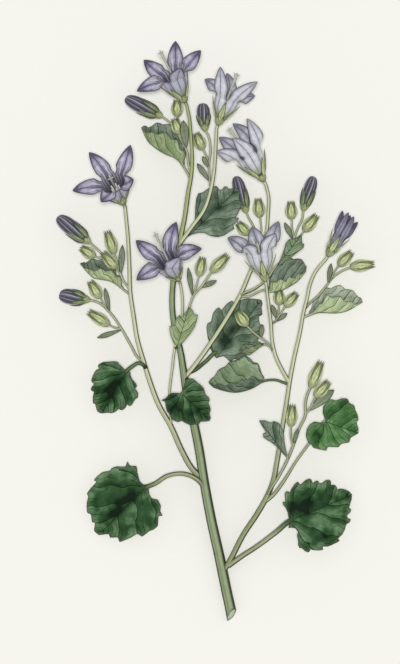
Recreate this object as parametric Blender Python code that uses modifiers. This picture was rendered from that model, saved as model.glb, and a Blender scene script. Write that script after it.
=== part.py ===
"""Campanula flower stem: a cut sprig lying flat, with heart-shaped leaves, open bells and buds.

Points are in millimetres and are written to the meshes in metres.
+X runs to the right, +Y from the cut end to the flowering top, +Z up from the table.
"""
import bmesh
import bpy
import numpy as np

MM = 0.001
PLANT = "campanula_flower_stem"
CUTTERS = "campanula_cutters"
PLANT_CENTRE = np.array([0.65, -0.38, 0.0])

# Sizes shared by the pieces
CLEARANCE = 0.38
WELD = 2e-7
BLADE_THICKNESS = 0.65
PETAL_THICKNESS = 0.6
SMALL_BLADE_THICKNESS = 0.62
SCRAP_SHARE = 0.12
FLAT_ANGLE = 0.09
FINE_FLAT_ANGLE = 0.02
TOOTH_OUT = 0.6
TOOTH_IN = 0.4
BLADE_RING = 0.55
RIB_DEPTH = 0.3
RIB_END_RADIUS = 0.4

# Folded leaves: how far the halves spread, and where a resting leaf meets the table
FOLD_OPENING = 0.8
REST_PLACE = 0.55
REST_REACH = 0.15
REST_LEVEL = 0.27
REST_RISE = 22.0
RESTING_THICKNESS = 0.7

# Flower parts, measured along the flower's axis from the end of its stalk
OVARY_TOP = 3.5
OVARY_RINGS = ((0.35, 0.85), (2.2, 1.85), (OVARY_TOP, 1.6))
BELL_BASE = 4.0
BELL_HEIGHTS = (0.0, 3.2, 9.5)
BELL_SHARES = (0.29, 0.7, 1.0)
LOBE_ROWS = (0.38, 0.76)
LOBE_COLUMNS = 4
SEPAL_ROUTE = ((2.7, 1.2), (3.4, 2.5), (6.2, 4.3), (8.6, 5.3), (11.4, 6.3))
SEPAL_LEAST_SHARE = 0.56
SEPAL_WIDTHS = (0.75, 0.8, 0.7, 0.5)
STALK_STRAIGHT = 1.3
OVARY_SIDES = 6
BUD_SIDES = 10
USUAL_MOUTH = 5.2
LOBE_BEND = 0.42
LOBE_TWIST = 0.7
STAMEN_FOOT = (0.7, 0.6)
STAMEN_TIP = (7.2, 1.6)
STAMEN_RADII = (0.34, 0.44)
STYLE_RADII = (0.46, 0.4, 0.4)
ARM_RADII = (0.36, 0.32)
BUD_FOOT = 2.9

# Stem pieces: centre-line points and the radii from root to end
MAIN_ROUTE = (
    (7.1, -117.6, 1.95), (6.8, -115.6, 2.0), (4.4, -104, 2.3), (1.6, -90.4, 3.2), (-1.6, -76, 4.6),
    (-4.4, -60.8, 6.5), (-6.4, -48, 8.5), (-8.8, -36, 10.5), (-11.6, -24, 12), (-12.4, -18.4, 12.7),
    (-14, -8, 13.5), (-16, 0, 14), (-17.2, 10, 14), (-16.8, 19.2, 14), (-14.4, 33.6, 14.5),
    (-12, 46, 15), (-10.6, 56, 15), (-9.6, 61.6, 15), (-9.2, 69.2, 15), (-9.6, 76.8, 15.3),
    (-10.3, 84.8, 16),
)
MAIN_RADII = (2.15, 2.1, 2.0, 1.9, 1.8, 1.6, 1.2, 1.15, 1.0, 0.9, 0.7, 0.62)
LEFT_ROUTE = (
    (-4.8, -60, 6.6), (-9.2, -55.6, 7), (-13.1, -48.8, 8), (-17.9, -38.2, 9), (-22.1, -30.9, 9.5),
    (-26.6, -19.2, 10), (-28.2, -14, 10), (-31.1, -4, 10), (-32.7, 6, 10), (-34, 15.2, 10),
    (-34.3, 24.4, 10.3), (-35, 38.2, 11),
)
RIGHT_ROUTE = (
    (2.9, -97.4, 2.8), (5.6, -93.2, 3.2), (11.2, -82.4, 5), (17.2, -73.2, 7), (20.4, -67.6, 8),
    (23.1, -61.2, 9), (25.1, -51.2, 10), (27.1, -38.4, 11), (29, -26.8, 12), (29.8, -21.2, 12.3),
    (31.6, -11.6, 13),
    (34.2, 0, 13.5), (35.3, 6.4, 13.5), (36.7, 12, 13.3), (38.1, 18.4, 13), (40.4, 23.6, 12.8),
)
INNER_ROUTE = (
    (29.8, -21.2, 12.3), (27.4, -17, 12.6), (24.3, -10.5, 13), (23, -5.3, 13.2), (22.4, 2.8, 13.8),
    (21.7, 8.1, 15.2),
)
MIDDLE_ROUTE = (
    (-12, -18.8, 12.7), (-8.6, -14.8, 13), (-1.7, -5.2, 13.3), (4.4, 4.2, 13.4), (10, 13.8, 13),
    (14.4, 24, 11), (17.2, 30.4, 10), (20, 36.8, 10.5), (21.3, 47.2, 12.5), (21.4, 53.8, 14.4),
)
UPPER_ROUTE = (
    (-14, 34.8, 14.5), (-8.6, 42.1, 15.5), (-4.5, 47.8, 16), (-1.7, 56, 16), (-0.6, 62, 15.8),
    (0.2, 72, 15.3),
)
THIN_ROUTE = (
    (-17.6, -37.6, 9.2), (-18.2, -24.8, 12), (-17.2, -16, 14.5), (-16, -6.8, 16.2), (-14.4, 0, 16.7),
    (-13, 7.6, 16.8), (-13.2, 14.4, 16.9),
)
CUT_POINT = (6.8, -115.6, 2.0)
CUT_TURN = 0.35
GROUND_BLOCK = (20.0, 20.0, 4.0)
REST_BLOCK_SHARE = (2.0, 2.0, 1.0)


class Flower:
    """One open flower: where its stalk ends, the way it faces and where its lobes reach."""

    def __init__(self, base, axis, turn, tips, style_tip=None, mouth=USUAL_MOUTH,
                 flare=0.45, inner_below=0.1, bell=BELL_HEIGHTS[-1]):
        self.base = np.array(base, float)
        self.axis = np.array(axis, float) / np.linalg.norm(axis)
        self.turn = np.radians(turn)
        self.tips = np.array(tips, float)
        self.style_tip = style_tip
        self.mouth = mouth
        self.flare = flare
        self.inner_below = inner_below
        self.bell = bell
        upward = np.array([0.0, 0.0, 1.0])
        front = upward - self.axis * self.axis[2]
        self.front = front / np.linalg.norm(front)
        self.right = np.cross(self.axis, self.front)

    def outward(self, angle):
        """Unit vector away from the flower's axis."""
        return self.front * np.cos(angle) + self.right * np.sin(angle)

    def place(self, height, radius, angle):
        """Point at a height along the axis and a radius from it."""
        return self.base + self.axis * height + self.outward(angle) * radius


FLOWERS = {
    "centre": Flower(
        (-14.4, 19.6, 18.5), (-0.35, 0.62, 0.70), 0,
        ((-14, 29, 33.5), (-5.2, 32.4, 32.5), (-15.4, 43.2, 27), (-31.6, 35.8, 27), (-31.4, 19.8, 32)),
        (-23.4, 37.4, 35), inner_below=0.5),
    "upper_right": Flower(
        (1, 81.8, 15.2), (0.34, 0.93, 0.2), 36,
        ((17.1, 99.2, 23.5), (16.1, 93.7, 15), (4.8, 103, 11), (-4.2, 100.4, 13), (2.1, 105.3, 23.5)),
        (8.3, 101.2, 19.3), mouth=4.7, bell=7.8),
    "right_bell": Flower(
        (19.7, 59.3, 16), (-0.47, 0.83, 0.3), 0,
        ((7, 76.6, 27.5), (12.7, 84.6, 22.5), (7, 82.6, 15), (1.6, 77.2, 14.5), (0.6, 71.5, 25)),
        (6.4, 79.4, 22.6)),
    "left": Flower(
        (-36.5, 50.2, 13), (-0.32, 0.63, 0.71), 43,
        ((-32.4, 60, 30.5), (-33.8, 74, 21.5), (-50.4, 71.1, 19.5), (-57, 55.6, 22.5), (-45.5, 51, 31)),
        (-41.6, 60.3, 27), inner_below=0.5),
    "inner_right": Flower(
        (20.2, 19.3, 19), (-0.2, 0.93, 0.3), 36,
        ((24.4, 38.5, 32), (25.5, 43.5, 22.5), (14.7, 41.4, 15), (4.9, 36.8, 25.5), (11.2, 33, 34)),
        (17.2, 33.4, 23.6)),
    "top": Flower(
        (-11.8, 90.9, 17), (-0.38, 0.8, 0.46), 8,
        ((-13.6, 104.4, 35), (-5.6, 111.7, 26), (-15.8, 115.6, 19.5), (-28.5, 107.9, 23.5),
         (-31.3, 95.3, 26)),
        (-21.3, 110, 28.2), inner_below=0.5),
    "outer_right": Flower(
        (45, 29.4, 13.2), (0.5, 0.82, 0.25), 36,
        ((55.4, 45.4, 24.5), (57.2, 43.2, 18.5), (54.2, 46, 12.5), (51.1, 47.8, 14.5),
         (53.4, 47, 21.5)),
        mouth=2.3, flare=0.0, bell=4.5),
}

# Stem pieces with the flower that ends each, and the number of sides of each
STEM_PIECES = (
    (MAIN_ROUTE, MAIN_RADII, "top", 8, 26),
    (LEFT_ROUTE, (1.2, 1.05, 0.9, 0.8, 0.7), "left", 6, 15),
    (RIGHT_ROUTE, (1.15, 1.1, 1.0, 0.85, 0.7, 0.62), "outer_right", 6, 18),
    (INNER_ROUTE, (0.8, 0.7, 0.62), "inner_right", 6, 10),
    (MIDDLE_ROUTE, (0.95, 0.9, 0.75, 0.62), "right_bell", 6, 13),
    (UPPER_ROUTE, (0.9, 0.75, 0.62), "upper_right", 6, 10),
    (THIN_ROUTE, (0.5, 0.5, 0.5), "centre", 4, 11),
)


class FlatLeaf:
    """An open leaf: its stalk, its outline from the base round to the base, and its heights."""

    def __init__(self, stalk, radii, outline, tip, heights, lift, teeth, depth=0.8, rib=0.55,
                 navel=0.3):
        self.stalk = stalk
        self.radii = radii
        self.outline = outline
        self.tip = tip
        self.heights = heights
        self.lift = lift
        self.teeth = teeth
        self.depth = depth
        self.rib = rib
        self.navel = navel
        base = np.array(outline[0], float)
        self.base = base
        self.along = np.array(outline[tip], float) - base
        self.length = np.linalg.norm(self.along)
        self.along = self.along / self.length
        offsets = (np.array(outline, float) - base) @ np.array([-self.along[1], self.along[0]])
        self.half_width = np.abs(offsets).max()

    def height(self, points):
        """Height of the blade's middle surface over points of the plane."""
        away = np.asarray(points, float) - self.base
        s = np.clip(away @ self.along / self.length, -0.2, 1.05)
        t = away @ np.array([-self.along[1], self.along[0]]) / self.half_width
        base, middle, tip = self.heights
        level = (base * (2 * s - 1) * (s - 1) + middle * 4 * s * (1 - s) + tip * s * (2 * s - 1))
        return level + self.lift * np.abs(t) ** 1.6


FLAT_LEAVES = {
    "leaf_lower_left": FlatLeaf(
        ((-4.8, -62.4, 6.5), (-6.8, -60.2, 8.3), (-8.6, -59, 9.3), (-13.2, -57.6, 11),
         (-18.8, -58.4, 11), (-24.4, -61.8, 9.6), (-27.6, -63.1, 8.6)),
        (1.05, 0.95),
        ((-27.6, -63.1), (-30.6, -60), (-31.6, -55.4), (-36.4, -54.2), (-41.6, -55.6), (-47.6, -59.8),
         (-50.8, -65.6), (-51, -72.4), (-49.4, -77.6), (-46.8, -81.6), (-38.8, -84.4), (-30.8, -82.8),
         (-24.4, -79.6), (-21.4, -73.6), (-23.4, -68), (-26.2, -66.6)),
        9, (8.6, 7.2, 2.2), -1.8, 8, navel=0.3),
    "leaf_lower_right": FlatLeaf(
        ((5.4, -94.6, 2.9), (11.2, -90.4, 5.5), (16.4, -87, 8), (24.4, -81, 10), (30.4, -76.2, 10)),
        (1.1, 1.1),
        ((30.4, -76.2), (28.8, -72.8), (27.6, -68.8), (28.4, -64.8), (32.8, -61.4), (38, -60.2),
         (45.2, -60.4), (51.2, -62.8), (54.6, -65), (54.8, -72), (54.4, -76.4), (51.6, -81.6),
         (46.8, -86), (40.4, -88.4), (34.8, -87.4), (33, -83.2), (32.6, -80)),
        8, (10, 9.2, 3.6), -2.2, 8, navel=0.4),
    "leaf_right_heart": FlatLeaf(
        ((19.6, -69.2, 7.6), (23.6, -65.8, 8.3), (26.8, -61.6, 9.4), (33.2, -51.6, 10.2),
         (37.5, -45.8, 10.6), (40.8, -41.6, 11.2), (44.4, -36.6, 12.2)),
        (0.85, 0.6),
        ((44.4, -36.6), (43, -33.6), (43.2, -30.4), (46, -28), (50.8, -27.2), (54.8, -29.6),
         (57.2, -34), (57.6, -39.2), (56.4, -42.4), (49.2, -46.8), (44, -48.4), (38.8, -46.8),
         (36.6, -43.2), (36.8, -39.2), (39.6, -37), (42.4, -36.8)),
        8, (12.6, 12.8, 9.5), -0.8, 7, navel=0.35),
    "leaf_left_heart": FlatLeaf(
        ((-27.8, -15.2, 10.3), (-29, -13.8, 12.2), (-30.6, -13.3, 12.8), (-33.2, -14.7, 12.6),
         (-35.2, -16.3, 12)),
        (0.75, 0.85),
        ((-35.2, -16.3), (-37.6, -14), (-40.8, -12.6), (-44.4, -13.2), (-47.2, -15.6), (-49.4, -20),
         (-49.8, -24.8), (-48.4, -30), (-46.2, -33.4), (-41.2, -33.6), (-36.4, -32), (-32.8, -28.8),
         (-30.8, -25.6), (-31.6, -22.4), (-33.4, -18.8)),
        8, (12, 9, 5), -1.2, 7),
    "leaf_middle_large": FlatLeaf(
        ((-12, -17.4, 12.5), (-8.8, -16.4, 11), (-4, -12.8, 8), (0.7, -8.9, 7)),
        (0.75, 0.85),
        ((0.7, -8.9), (-2.2, -5.2), (-3.4, 0.4), (-1.6, 5.2), (1.2, 8.8), (6.4, 11.6), (12, 12.2),
         (18.8, 12.2), (18.8, 7.2), (18.6, 1.6), (17.2, -4.8), (12.4, -9.6), (6.8, -12), (3.2, -10.8)),
        7, (7, 7.4, 4.8), -1.2, 8, navel=0.42),
    "leaf_upper_large": FlatLeaf(
        ((-13.8, 35.6, 14.2), (-11.8, 37.2, 12.8), (-10, 39.6, 12)),
        (0.65, 0.55),
        ((-10, 39.6), (-8.2, 43.2), (-8.1, 48.8), (-6.8, 54.4), (-3.6, 56.4), (0.8, 57.6),
         (4.8, 57.4), (9.2, 57.2), (10, 54), (10.4, 49.2), (9, 44.4), (5.6, 39.2), (0, 37.2),
         (-3.6, 38), (-6.8, 39)),
        7, (12, 13, 10.4), -1.2, 8, navel=0.4),
    "leaf_centre_heart": FlatLeaf(
        ((-12.2, -19.2, 12.7), (-10.8, -20.8, 15.2), (-11.2, -23.4, 16.4), (-13.3, -25.8, 17)),
        (0.7, 0.6),
        ((-13.3, -25.8), (-12.6, -22), (-11.2, -19.4), (-8, -19.4), (-4.8, -22.4), (-2.4, -26.4),
         (-1.4, -31.2), (-1.6, -36.2), (-4.8, -37.4), (-10, -38.2), (-14.8, -36.4), (-18.8, -32.8),
         (-20.4, -29.2), (-21.2, -27.4), (-18.4, -25.4), (-15.6, -25)),
        7, (17, 18.2, 16), -1.4, 7, navel=0.35),
    "leaf_bract": FlatLeaf(
        ((-15.9, -7.2, 16.2), (-15.2, -6.9, 17.6), (-14.4, -6.7, 18.8)),
        (0.5, 0.45),
        ((-14.4, -6.7), (-17.2, -4.4), (-18.4, 0), (-17.4, 3), (-15.2, 5.6), (-12.4, 7.6),
         (-10.2, 9.5), (-8.4, 6.8), (-7.2, 4.8), (-8.2, -0.4), (-11.2, -4.2)),
        6, (19, 20.4, 20.6), -0.4, 5, depth=0.3),
    "leaf_inner_upright": FlatLeaf(
        ((10.2, 14, 13.3), (12.4, 15.2, 14.6), (16, 16.8, 15), (19.6, 19.4, 15.2), (22, 22, 15.3),
         (23.6, 24.6, 15.5)),
        (0.5, 0.45),
        ((23.6, 24.6), (26.4, 28.6), (27.4, 32.4), (29, 35.6), (32, 37.2), (34.9, 38.4), (35.2, 34),
         (32.8, 30.4), (28.8, 27.6), (25.6, 25.4)),
        5, (15.5, 16.2, 15.4), 1.4, 5, depth=0.0, navel=0.5),
    "leaf_right_lobed": FlatLeaf(
        ((29.1, -51.5, 14.7), (29.0, -50.4, 14.8)),
        (0.45, 0.42),
        ((29.2, -51.2), (28, -44), (26.6, -39.4), (23.4, -36.4), (22.2, -37.6), (17.7, -36.2),
         (18.6, -39), (20, -40.8), (19, -41.6), (21.2, -44.4), (25.2, -47.2)),
        5, (14.8, 16, 15.4), 0.0, 6, depth=0.0, navel=0.55),
}


class FoldedLeaf:
    """A leaf folded along its keel: the near half stands toward the viewer, the far half lies back."""

    def __init__(self, keel, blade_from, near, far, rise, radii=(0.5, 0.4), rests=False, teeth=4,
                 depth=0.45):
        self.keel = keel
        self.blade_from = blade_from
        self.near = near
        self.far = far
        self.rise = rise
        self.radii = radii
        self.rests = rests
        self.teeth = teeth
        self.depth = depth


FOLDED_LEAVES = {
    "leaf_left_folded": FoldedLeaf(
        ((-33.8, 14, 9.8), (-36.4, 16, 9), (-39.3, 18.3, 7.6), (-41.3, 19.5, 6.6), (-45.2, 20.4, 5.4),
         (-48.8, 21.1, 4.6), (-51, 23, 4), (-54.2, 26.7, 3.4)),
        1,
        ((-37.6, 19.6), (-40, 22.4), (-42.8, 23.8), (-45.6, 24.2), (-48.4, 24), (-50.8, 24.2),
         (-52.8, 25.8)),
        ((-38.8, 22), (-40.8, 25.6), (-43.2, 27.6), (-46, 28.5), (-48.6, 28.3), (-50.6, 27.8),
         (-52.8, 27.2)),
        (0.9, 0.0), rests=True),
    "leaf_middle_folded": FoldedLeaf(
        ((29.4, -21.8, 12.3), (27.2, -21, 11.6), (25, -20.2, 11), (20, -20.4, 10.5),
         (14.2, -23.4, 10), (8.7, -24.8, 9.5), (3.2, -24.1, 9), (-0.7, -22.8, 8.8), (-2.6, -20.9, 8.6)),
        3,
        ((18, -19.6), (14, -19.2), (11.4, -20.2), (8.9, -20.9), (5.5, -21.8), (1, -22), (-1.6, -21.4)),
        ((19.4, -18.2), (18.6, -16.6), (16, -12.8), (13.8, -11.4), (10, -11), (7.8, -12.4), (5, -13.6),
         (0.8, -17.2), (-1.4, -19.3)),
        (0.9, 0.0), (0.6, 0.45)),
    "leaf_right_folded": FoldedLeaf(
        ((35.2, 5, 13.5), (37.6, 6, 13.6), (41.4, 7.2, 11.4), (44.2, 7.2, 9), (47.9, 7, 6.8),
         (50.6, 7.2, 5.6), (53.4, 8, 4.6), (56.1, 9.4, 3.8), (59.4, 11.2, 3)),
        1,
        ((39.2, 7.6), (41.2, 9.0), (44.8, 13.2), (49.2, 13.2), (52, 12), (55.6, 10.8), (57.8, 11)),
        ((38.4, 9), (40.4, 12), (42.4, 14.6), (44, 16.4), (46.4, 17.2), (51.6, 17.2), (54.4, 16),
         (56, 14.8), (58.4, 13.2)),
        (0.8, 0.0), rests=True),
    "leaf_inner_folded": FoldedLeaf(
        ((10, 13.4, 12.9), (14, 13.6, 12.9), (16.8, 15, 13.2), (19.6, 16, 13.6), (21.2, 15.5, 14),
         (23.6, 15.4, 14.2), (27.4, 16.4, 14.2), (30.3, 17.9, 14), (32.8, 19.4, 13.8),
         (36.4, 23.6, 13.5)),
        4,
        ((21.8, 17.6), (24.9, 19.8), (27.8, 20), (29.3, 20.6), (32.8, 21.7), (35, 23)),
        ((21.8, 19.6), (23.2, 23.6), (26.8, 26.8), (30, 28.6), (32.2, 28.8), (34.7, 27.6),
         (36.6, 26)),
        (0.6, -0.3)),
    "leaf_top_folded": FoldedLeaf(
        ((-9.9, 60.8, 14.8), (-12.4, 65.2, 12.6), (-14.2, 67.7, 11), (-16.6, 69.5, 9),
         (-19.5, 70.6, 7.4), (-24, 73.3, 5.6), (-26.6, 75.6, 5), (-28, 77.9, 4.6), (-29.6, 81.3, 4)),
        1,
        ((-11.9, 68.2), (-13, 71.6), (-14.2, 73.8), (-16, 76.1), (-18, 77.4), (-21.3, 79),
         (-23.4, 78.6), (-25.6, 79), (-28, 79.8)),
        ((-11.8, 70), (-12.6, 73.6), (-15, 78.6), (-17, 80.8), (-19.8, 82.8), (-23.1, 83),
         (-26, 81.8), (-28.4, 82)),
        (0.7, 0.0), rests=True),
    "leaf_inner_small": FoldedLeaf(
        ((23, -6.8, 13.2), (21.2, -6.2, 13.6), (20, -5.8, 14), (18.4, -6.4, 14.2), (15.6, -8.5, 14),
         (13.6, -9.8, 13.8), (11.6, -9.3, 13.8), (9.7, -8.3, 13.8)),
        2,
        ((18.4, -5.6), (16.6, -6), (14, -7), (12, -7.8)),
        ((18.8, -5), (17, -4.8), (14.4, -5), (12, -5.6), (10.4, -7)),
        (0.6, -0.3), (0.45, 0.4), teeth=3, depth=0.25),
}


class Spray:
    """A side spray: stalks, green buds, violet buds' calyces and bracteoles, grown together."""

    def __init__(self, stalks, green=(), violet=(), bracts=()):
        self.stalks = stalks
        self.green = green
        self.violet = violet
        self.bracts = bracts


# Each stalk is (points, radius); each bud (base, tip, radius); each bract (root, tip, half width)
SPRAYS = {
    "spray_top_left": Spray(
        ((((-9.5, 62.8, 15), (-10.6, 66.4, 14.5), (-11.1, 70.8, 13.5), (-12.2, 74, 13),
           (-13.2, 76.4, 13), (-14.4, 79, 13.2)), 0.5),
         (((-12, 73.2, 13.1), (-13.4, 79.6, 9.8), (-15.1, 86, 9.5)), 0.42),
         (((-11.6, 72.4, 13.2), (-14.4, 77.6, 11.6), (-17.6, 82.6, 11), (-21.2, 85.6, 10.2)), 0.45)),
        (((-14.2, 78.4, 13.2), (-16.5, 85.2, 12.6), 2.3), ((-15.1, 85.6, 9.5), (-15.2, 92.8, 9.5), 2.4)),
        (((-21, 85.5, 10.2), (-36, 92.8, 9), 2.9),),
        (((-11.5, 72.8, 13.4), (-12.7, 84, 15.4), 1.5),)),
    "spray_top_right": Spray(
        ((((-1.6, 56.8, 15.9), (-2.2, 60.8, 14.5), (-2.4, 66, 13.5), (-1.8, 72.4, 13.3),
           (-2.6, 77.6, 13), (-3.9, 80, 12.8)), 0.48),
         (((-2.3, 66, 13.5), (-3.6, 70, 12.5), (-5, 72.8, 12)), 0.42)),
        (((-4.9, 72.3, 12), (-7.8, 79.4, 12), 2.4),),
        (((-3.9, 79.6, 12.8), (-5.2, 90.8, 12), 2.6),),
        (((-2.2, 59.6, 14.8), (-7.2, 66.8, 14.5), 1.0), ((-2.4, 64.8, 13.6), (-5, 69.6, 14.6), 0.9))),
    "spray_left_upper": Spray(
        ((((-34.2, 16.4, 10.2), (-36.4, 19.2, 10.6), (-38.6, 23.6, 11), (-40.4, 25.4, 11.2),
           (-45.6, 30.8, 11.3), (-50.2, 35, 11)), 0.5),
         (((-38.6, 23.6, 11), (-39.2, 27.2, 12), (-40.4, 31, 12.5)), 0.42),
         (((-38, 22.4, 10.9), (-39.9, 25.2, 12.5)), 0.42),
         (((-44.4, 29.6, 11.2), (-46.4, 29, 10.4), (-48.5, 29.5, 10)), 0.42)),
        (((-40.3, 30.6, 12.5), (-43.4, 40.2, 13), 2.4), ((-39.6, 24.8, 12.4), (-45.2, 31.4, 13.9), 2.3),
         ((-48.1, 29.2, 10), (-54.2, 33.3, 9.5), 2.3)),
        (((-49.9, 34.8, 11), (-63.2, 45.2, 9), 3.0),),
        (((-37.8, 22, 10.8), (-37, 34.2, 13.5), 1.1),)),
    "spray_left_lower": Spray(
        ((((-28.2, -13.2, 9.9), (-30.8, -11.2, 9.7), (-33.6, -6.4, 9.2), (-37.3, 0.1, 8.8),
           (-41.8, 6.6, 8.3), (-46.4, 10.8, 7.8), (-50.2, 12.1, 7.5)), 0.55),
         (((-43.2, 7.8, 8.2), (-44.8, 10.8, 9), (-46.1, 13.2, 9.5)), 0.42),
         (((-37.6, 0.6, 8.8), (-40.4, 1, 9), (-42.8, 2.2, 9)), 0.42)),
        (((-46, 12.8, 9.5), (-50.4, 20, 10.5), 2.4), ((-42.4, 2, 9), (-51.2, 7.6, 8.5), 2.4)),
        (((-49.9, 12, 7.5), (-62.5, 13.9, 7), 3.0),),
        (((-42.2, 7, 8.3), (-44.2, 17, 10), 0.9), ((-37.6, 0, 8.8), (-47.4, -3.2, 8), 0.9))),
    "spray_centre": Spray(
        ((((-15.3, -5, 16.5), (-13.4, 0, 17.2), (-11.2, 6.4, 17.8), (-10, 10, 18), (-8.6, 13.8, 18),
           (-5.6, 17.2, 18.5), (-1.3, 23.5, 18.5)), 0.5),
         (((-8.6, 13.8, 18), (-7.4, 18, 17.5), (-6.3, 22, 17.5)), 0.42)),
        (((-1.6, 23.2, 18.5), (5.6, 30.4, 18.5), 2.4), ((-6.4, 21.6, 17.5), (-4.8, 29.6, 17.5), 2.3)),
        (),
        (((-8.9, 13.2, 18), (-10.8, 25.2, 18), 0.9), ((-6, 16.8, 18.4), (0.8, 19.8, 18), 0.9))),
    "spray_middle": Spray(
        ((((18.8, 33.6, 10.2), (17.2, 37.6, 9), (15.4, 41.6, 7.5), (13.2, 45.6, 6.3),
           (12.6, 47.3, 6)), 0.48),
         (((17.4, 37.2, 9.2), (15.2, 36.6, 7.5), (13, 38.6, 6.5)), 0.42),
         (((17.6, 36.8, 9.2), (18.5, 39.2, 8.8), (18.3, 43.2, 9.3), (18, 45.7, 10)), 0.42)),
        (((13.3, 38.2, 6.5), (8.8, 43.4, 6), 2.3), ((18, 45.2, 10), (17.2, 53.2, 10.5), 2.4)),
        (((12.7, 46.9, 6), (8.2, 61.6, 5.5), 2.8),)),
    "spray_right_inner": Spray(
        ((((10.4, 14.4, 12.7), (14, 15.4, 11), (19, 18.8, 9.8), (22.8, 23.2, 9), (28, 29.6, 8.6),
           (31.6, 36.4, 9), (33, 40.4, 9.5), (35, 44.8, 10), (35.4, 48.1, 10)), 0.5),
         (((31.6, 36.4, 9), (30.9, 40.8, 9.5), (30.7, 44.9, 10)), 0.42),
         (((31.4, 36, 8.9), (33.8, 37.4, 9.4), (35.9, 40, 10.2)), 0.42)),
        (((30.7, 44.4, 10), (30.4, 52, 10), 2.4), ((35.6, 39.6, 10.2), (41.2, 46.4, 10.8), 2.4)),
        (((35.3, 47.7, 10), (39.4, 61.6, 10), 3.0),),
        (((31.4, 36, 9), (27.8, 43.2, 10.5), 0.9),)),
    "spray_right_outer": Spray(
        ((((35.3, 7.6, 13.3), (37.6, 10.4, 11), (41.2, 13.6, 9), (44.4, 17.4, 8.3), (47.2, 21, 8.6),
           (50.4, 23.4, 9), (54.7, 25.3, 9.3)), 0.5),
         (((46.4, 20, 8.5), (47.8, 23.2, 10.5), (49.9, 26.2, 11.8)), 0.42)),
        (((54.2, 25.3, 9.3), (64.4, 26.4, 10), 2.4), ((49.6, 25.8, 11.7), (55.2, 31.6, 13), 2.3)),
        (),
        (((45.4, 18.4, 8.4), (46.6, 26.8, 10.5), 0.9),)),
    "spray_inner_pair": Spray(
        ((((22.4, 2.8, 13.8), (24, 3.2, 12.6), (25, 5.6, 11.4), (25.8, 10.5, 10.3)), 0.45),
         (((24.6, 4.2, 12.2), (26.4, 6.8, 11.8), (28.3, 9.8, 11.6)), 0.42)),
        (((25.8, 10, 10.3), (25.6, 16.8, 10.2), 2.3), ((28, 9.4, 11.6), (33.2, 15.2, 10.6), 2.2)),
        (),
        (((24.8, 4.2, 12.2), (22.7, 10.2, 12.4), 0.9), ((24.6, 3.4, 12.4), (29, 6.8, 13.5), 0.8))),
    "spray_inner_single": Spray(
        ((((23.1, -8.4, 13.1), (21.9, -6.4, 14.8), (20.4, -4.6, 15.8), (18.2, -3.2, 16.4),
           (14.4, 0, 17.3), (12.6, 1.9, 17.6)), 0.45),),
        (((12.8, 1.6, 17.5), (8.3, 8.1, 18), 2.4),),
        (),
        (((18.4, -3.4, 16.3), (18.9, 2.2, 17), 0.9),)),
    "spray_right_lower": Spray(
        ((((20.8, -66.8, 8.2), (22.4, -63.6, 10.4), (25.2, -59.2, 11.9), (29.2, -51.6, 13.2),
           (31.6, -45.5, 14.8), (33.8, -39.2, 16), (36.2, -33.8, 17), (36.1, -30, 17),
           (36.8, -26.4, 17), (38.4, -22.5, 17)), 0.6),
         (((36.2, -33.8, 17), (37.8, -31.6, 17), (40.3, -26.4, 17)), 0.45),
         (((31.2, -46.4, 14.6), (30.4, -42.8, 15.4), (30.4, -38.1, 16)), 0.42)),
        (((38.2, -23, 17), (42.8, -12, 17), 2.4), ((40, -26.8, 17), (46, -20.2, 17), 2.4),
         ((30.4, -38.6, 16), (31, -29.4, 16.2), 2.3)),
        (),
        (((37.4, -32.4, 17), (47.8, -23.8, 15.6), 1.6), ((31.4, -46, 14.7), (33.2, -39.2, 18), 0.8))),
}

COLOURS = {
    "stem": ((0.33, 0.42, 0.19), 0.55),
    "deep_leaf": ((0.055, 0.13, 0.05), 0.5),
    "blue_leaf": ((0.12, 0.19, 0.15), 0.55),
    "pale_leaf": ((0.36, 0.44, 0.24), 0.6),
    "petal": ((0.52, 0.5, 0.68), 0.6),
    "calyx": ((0.36, 0.45, 0.2), 0.55),
    "pistil": ((0.68, 0.66, 0.62), 0.5),
    "violet": ((0.16, 0.14, 0.3), 0.55),
    "spray": ((0.42, 0.48, 0.24), 0.55),
}
LEAF_COLOURS = {
    "leaf_lower_left": "deep_leaf",
    "leaf_lower_right": "deep_leaf",
    "leaf_right_heart": "deep_leaf",
    "leaf_left_heart": "deep_leaf",
    "leaf_centre_heart": "deep_leaf",
    "leaf_bract": "pale_leaf",
}


def unit(vectors):
    """Vectors scaled to length one."""
    vectors = np.asarray(vectors, float)
    return vectors / np.maximum(np.linalg.norm(vectors, axis=-1, keepdims=True), 1e-12)


def chord_lengths(points):
    """Distance along a line of points up to each of them."""
    steps = np.linalg.norm(np.diff(points, axis=0), axis=1)
    return np.concatenate([[0.0], np.cumsum(steps)])


def hermite(points, places, closed=False):
    """Smooth curve through the points, read at the given distances along their chords."""
    points = np.asarray(points, float)
    if closed:
        points = np.vstack([points, points[:1]])
    along = chord_lengths(points)
    gaps = np.diff(along)[:, None]
    slopes = np.diff(points, axis=0) / gaps
    inner = (slopes[:-1] * gaps[1:] + slopes[1:] * gaps[:-1]) / (gaps[1:] + gaps[:-1])
    if closed:
        seam = (slopes[-1] * gaps[0] + slopes[0] * gaps[-1]) / (gaps[0] + gaps[-1])
        tangents = np.vstack([seam, inner, seam])
    else:
        tangents = np.vstack([slopes[0], inner, slopes[-1]])
    places = np.clip(places, 0.0, along[-1])
    spans = np.clip(np.searchsorted(along, places, side="right") - 1, 0, len(gaps) - 1)
    width = gaps[spans]
    t = (places - along[spans])[:, None] / width
    start = points[spans] * (1 + 2 * t) * (1 - t) ** 2 + points[spans + 1] * t * t * (3 - 2 * t)
    bend = tangents[spans] * t * (1 - t) ** 2 - tangents[spans + 1] * t * t * (1 - t)
    return start + bend * width


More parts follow.
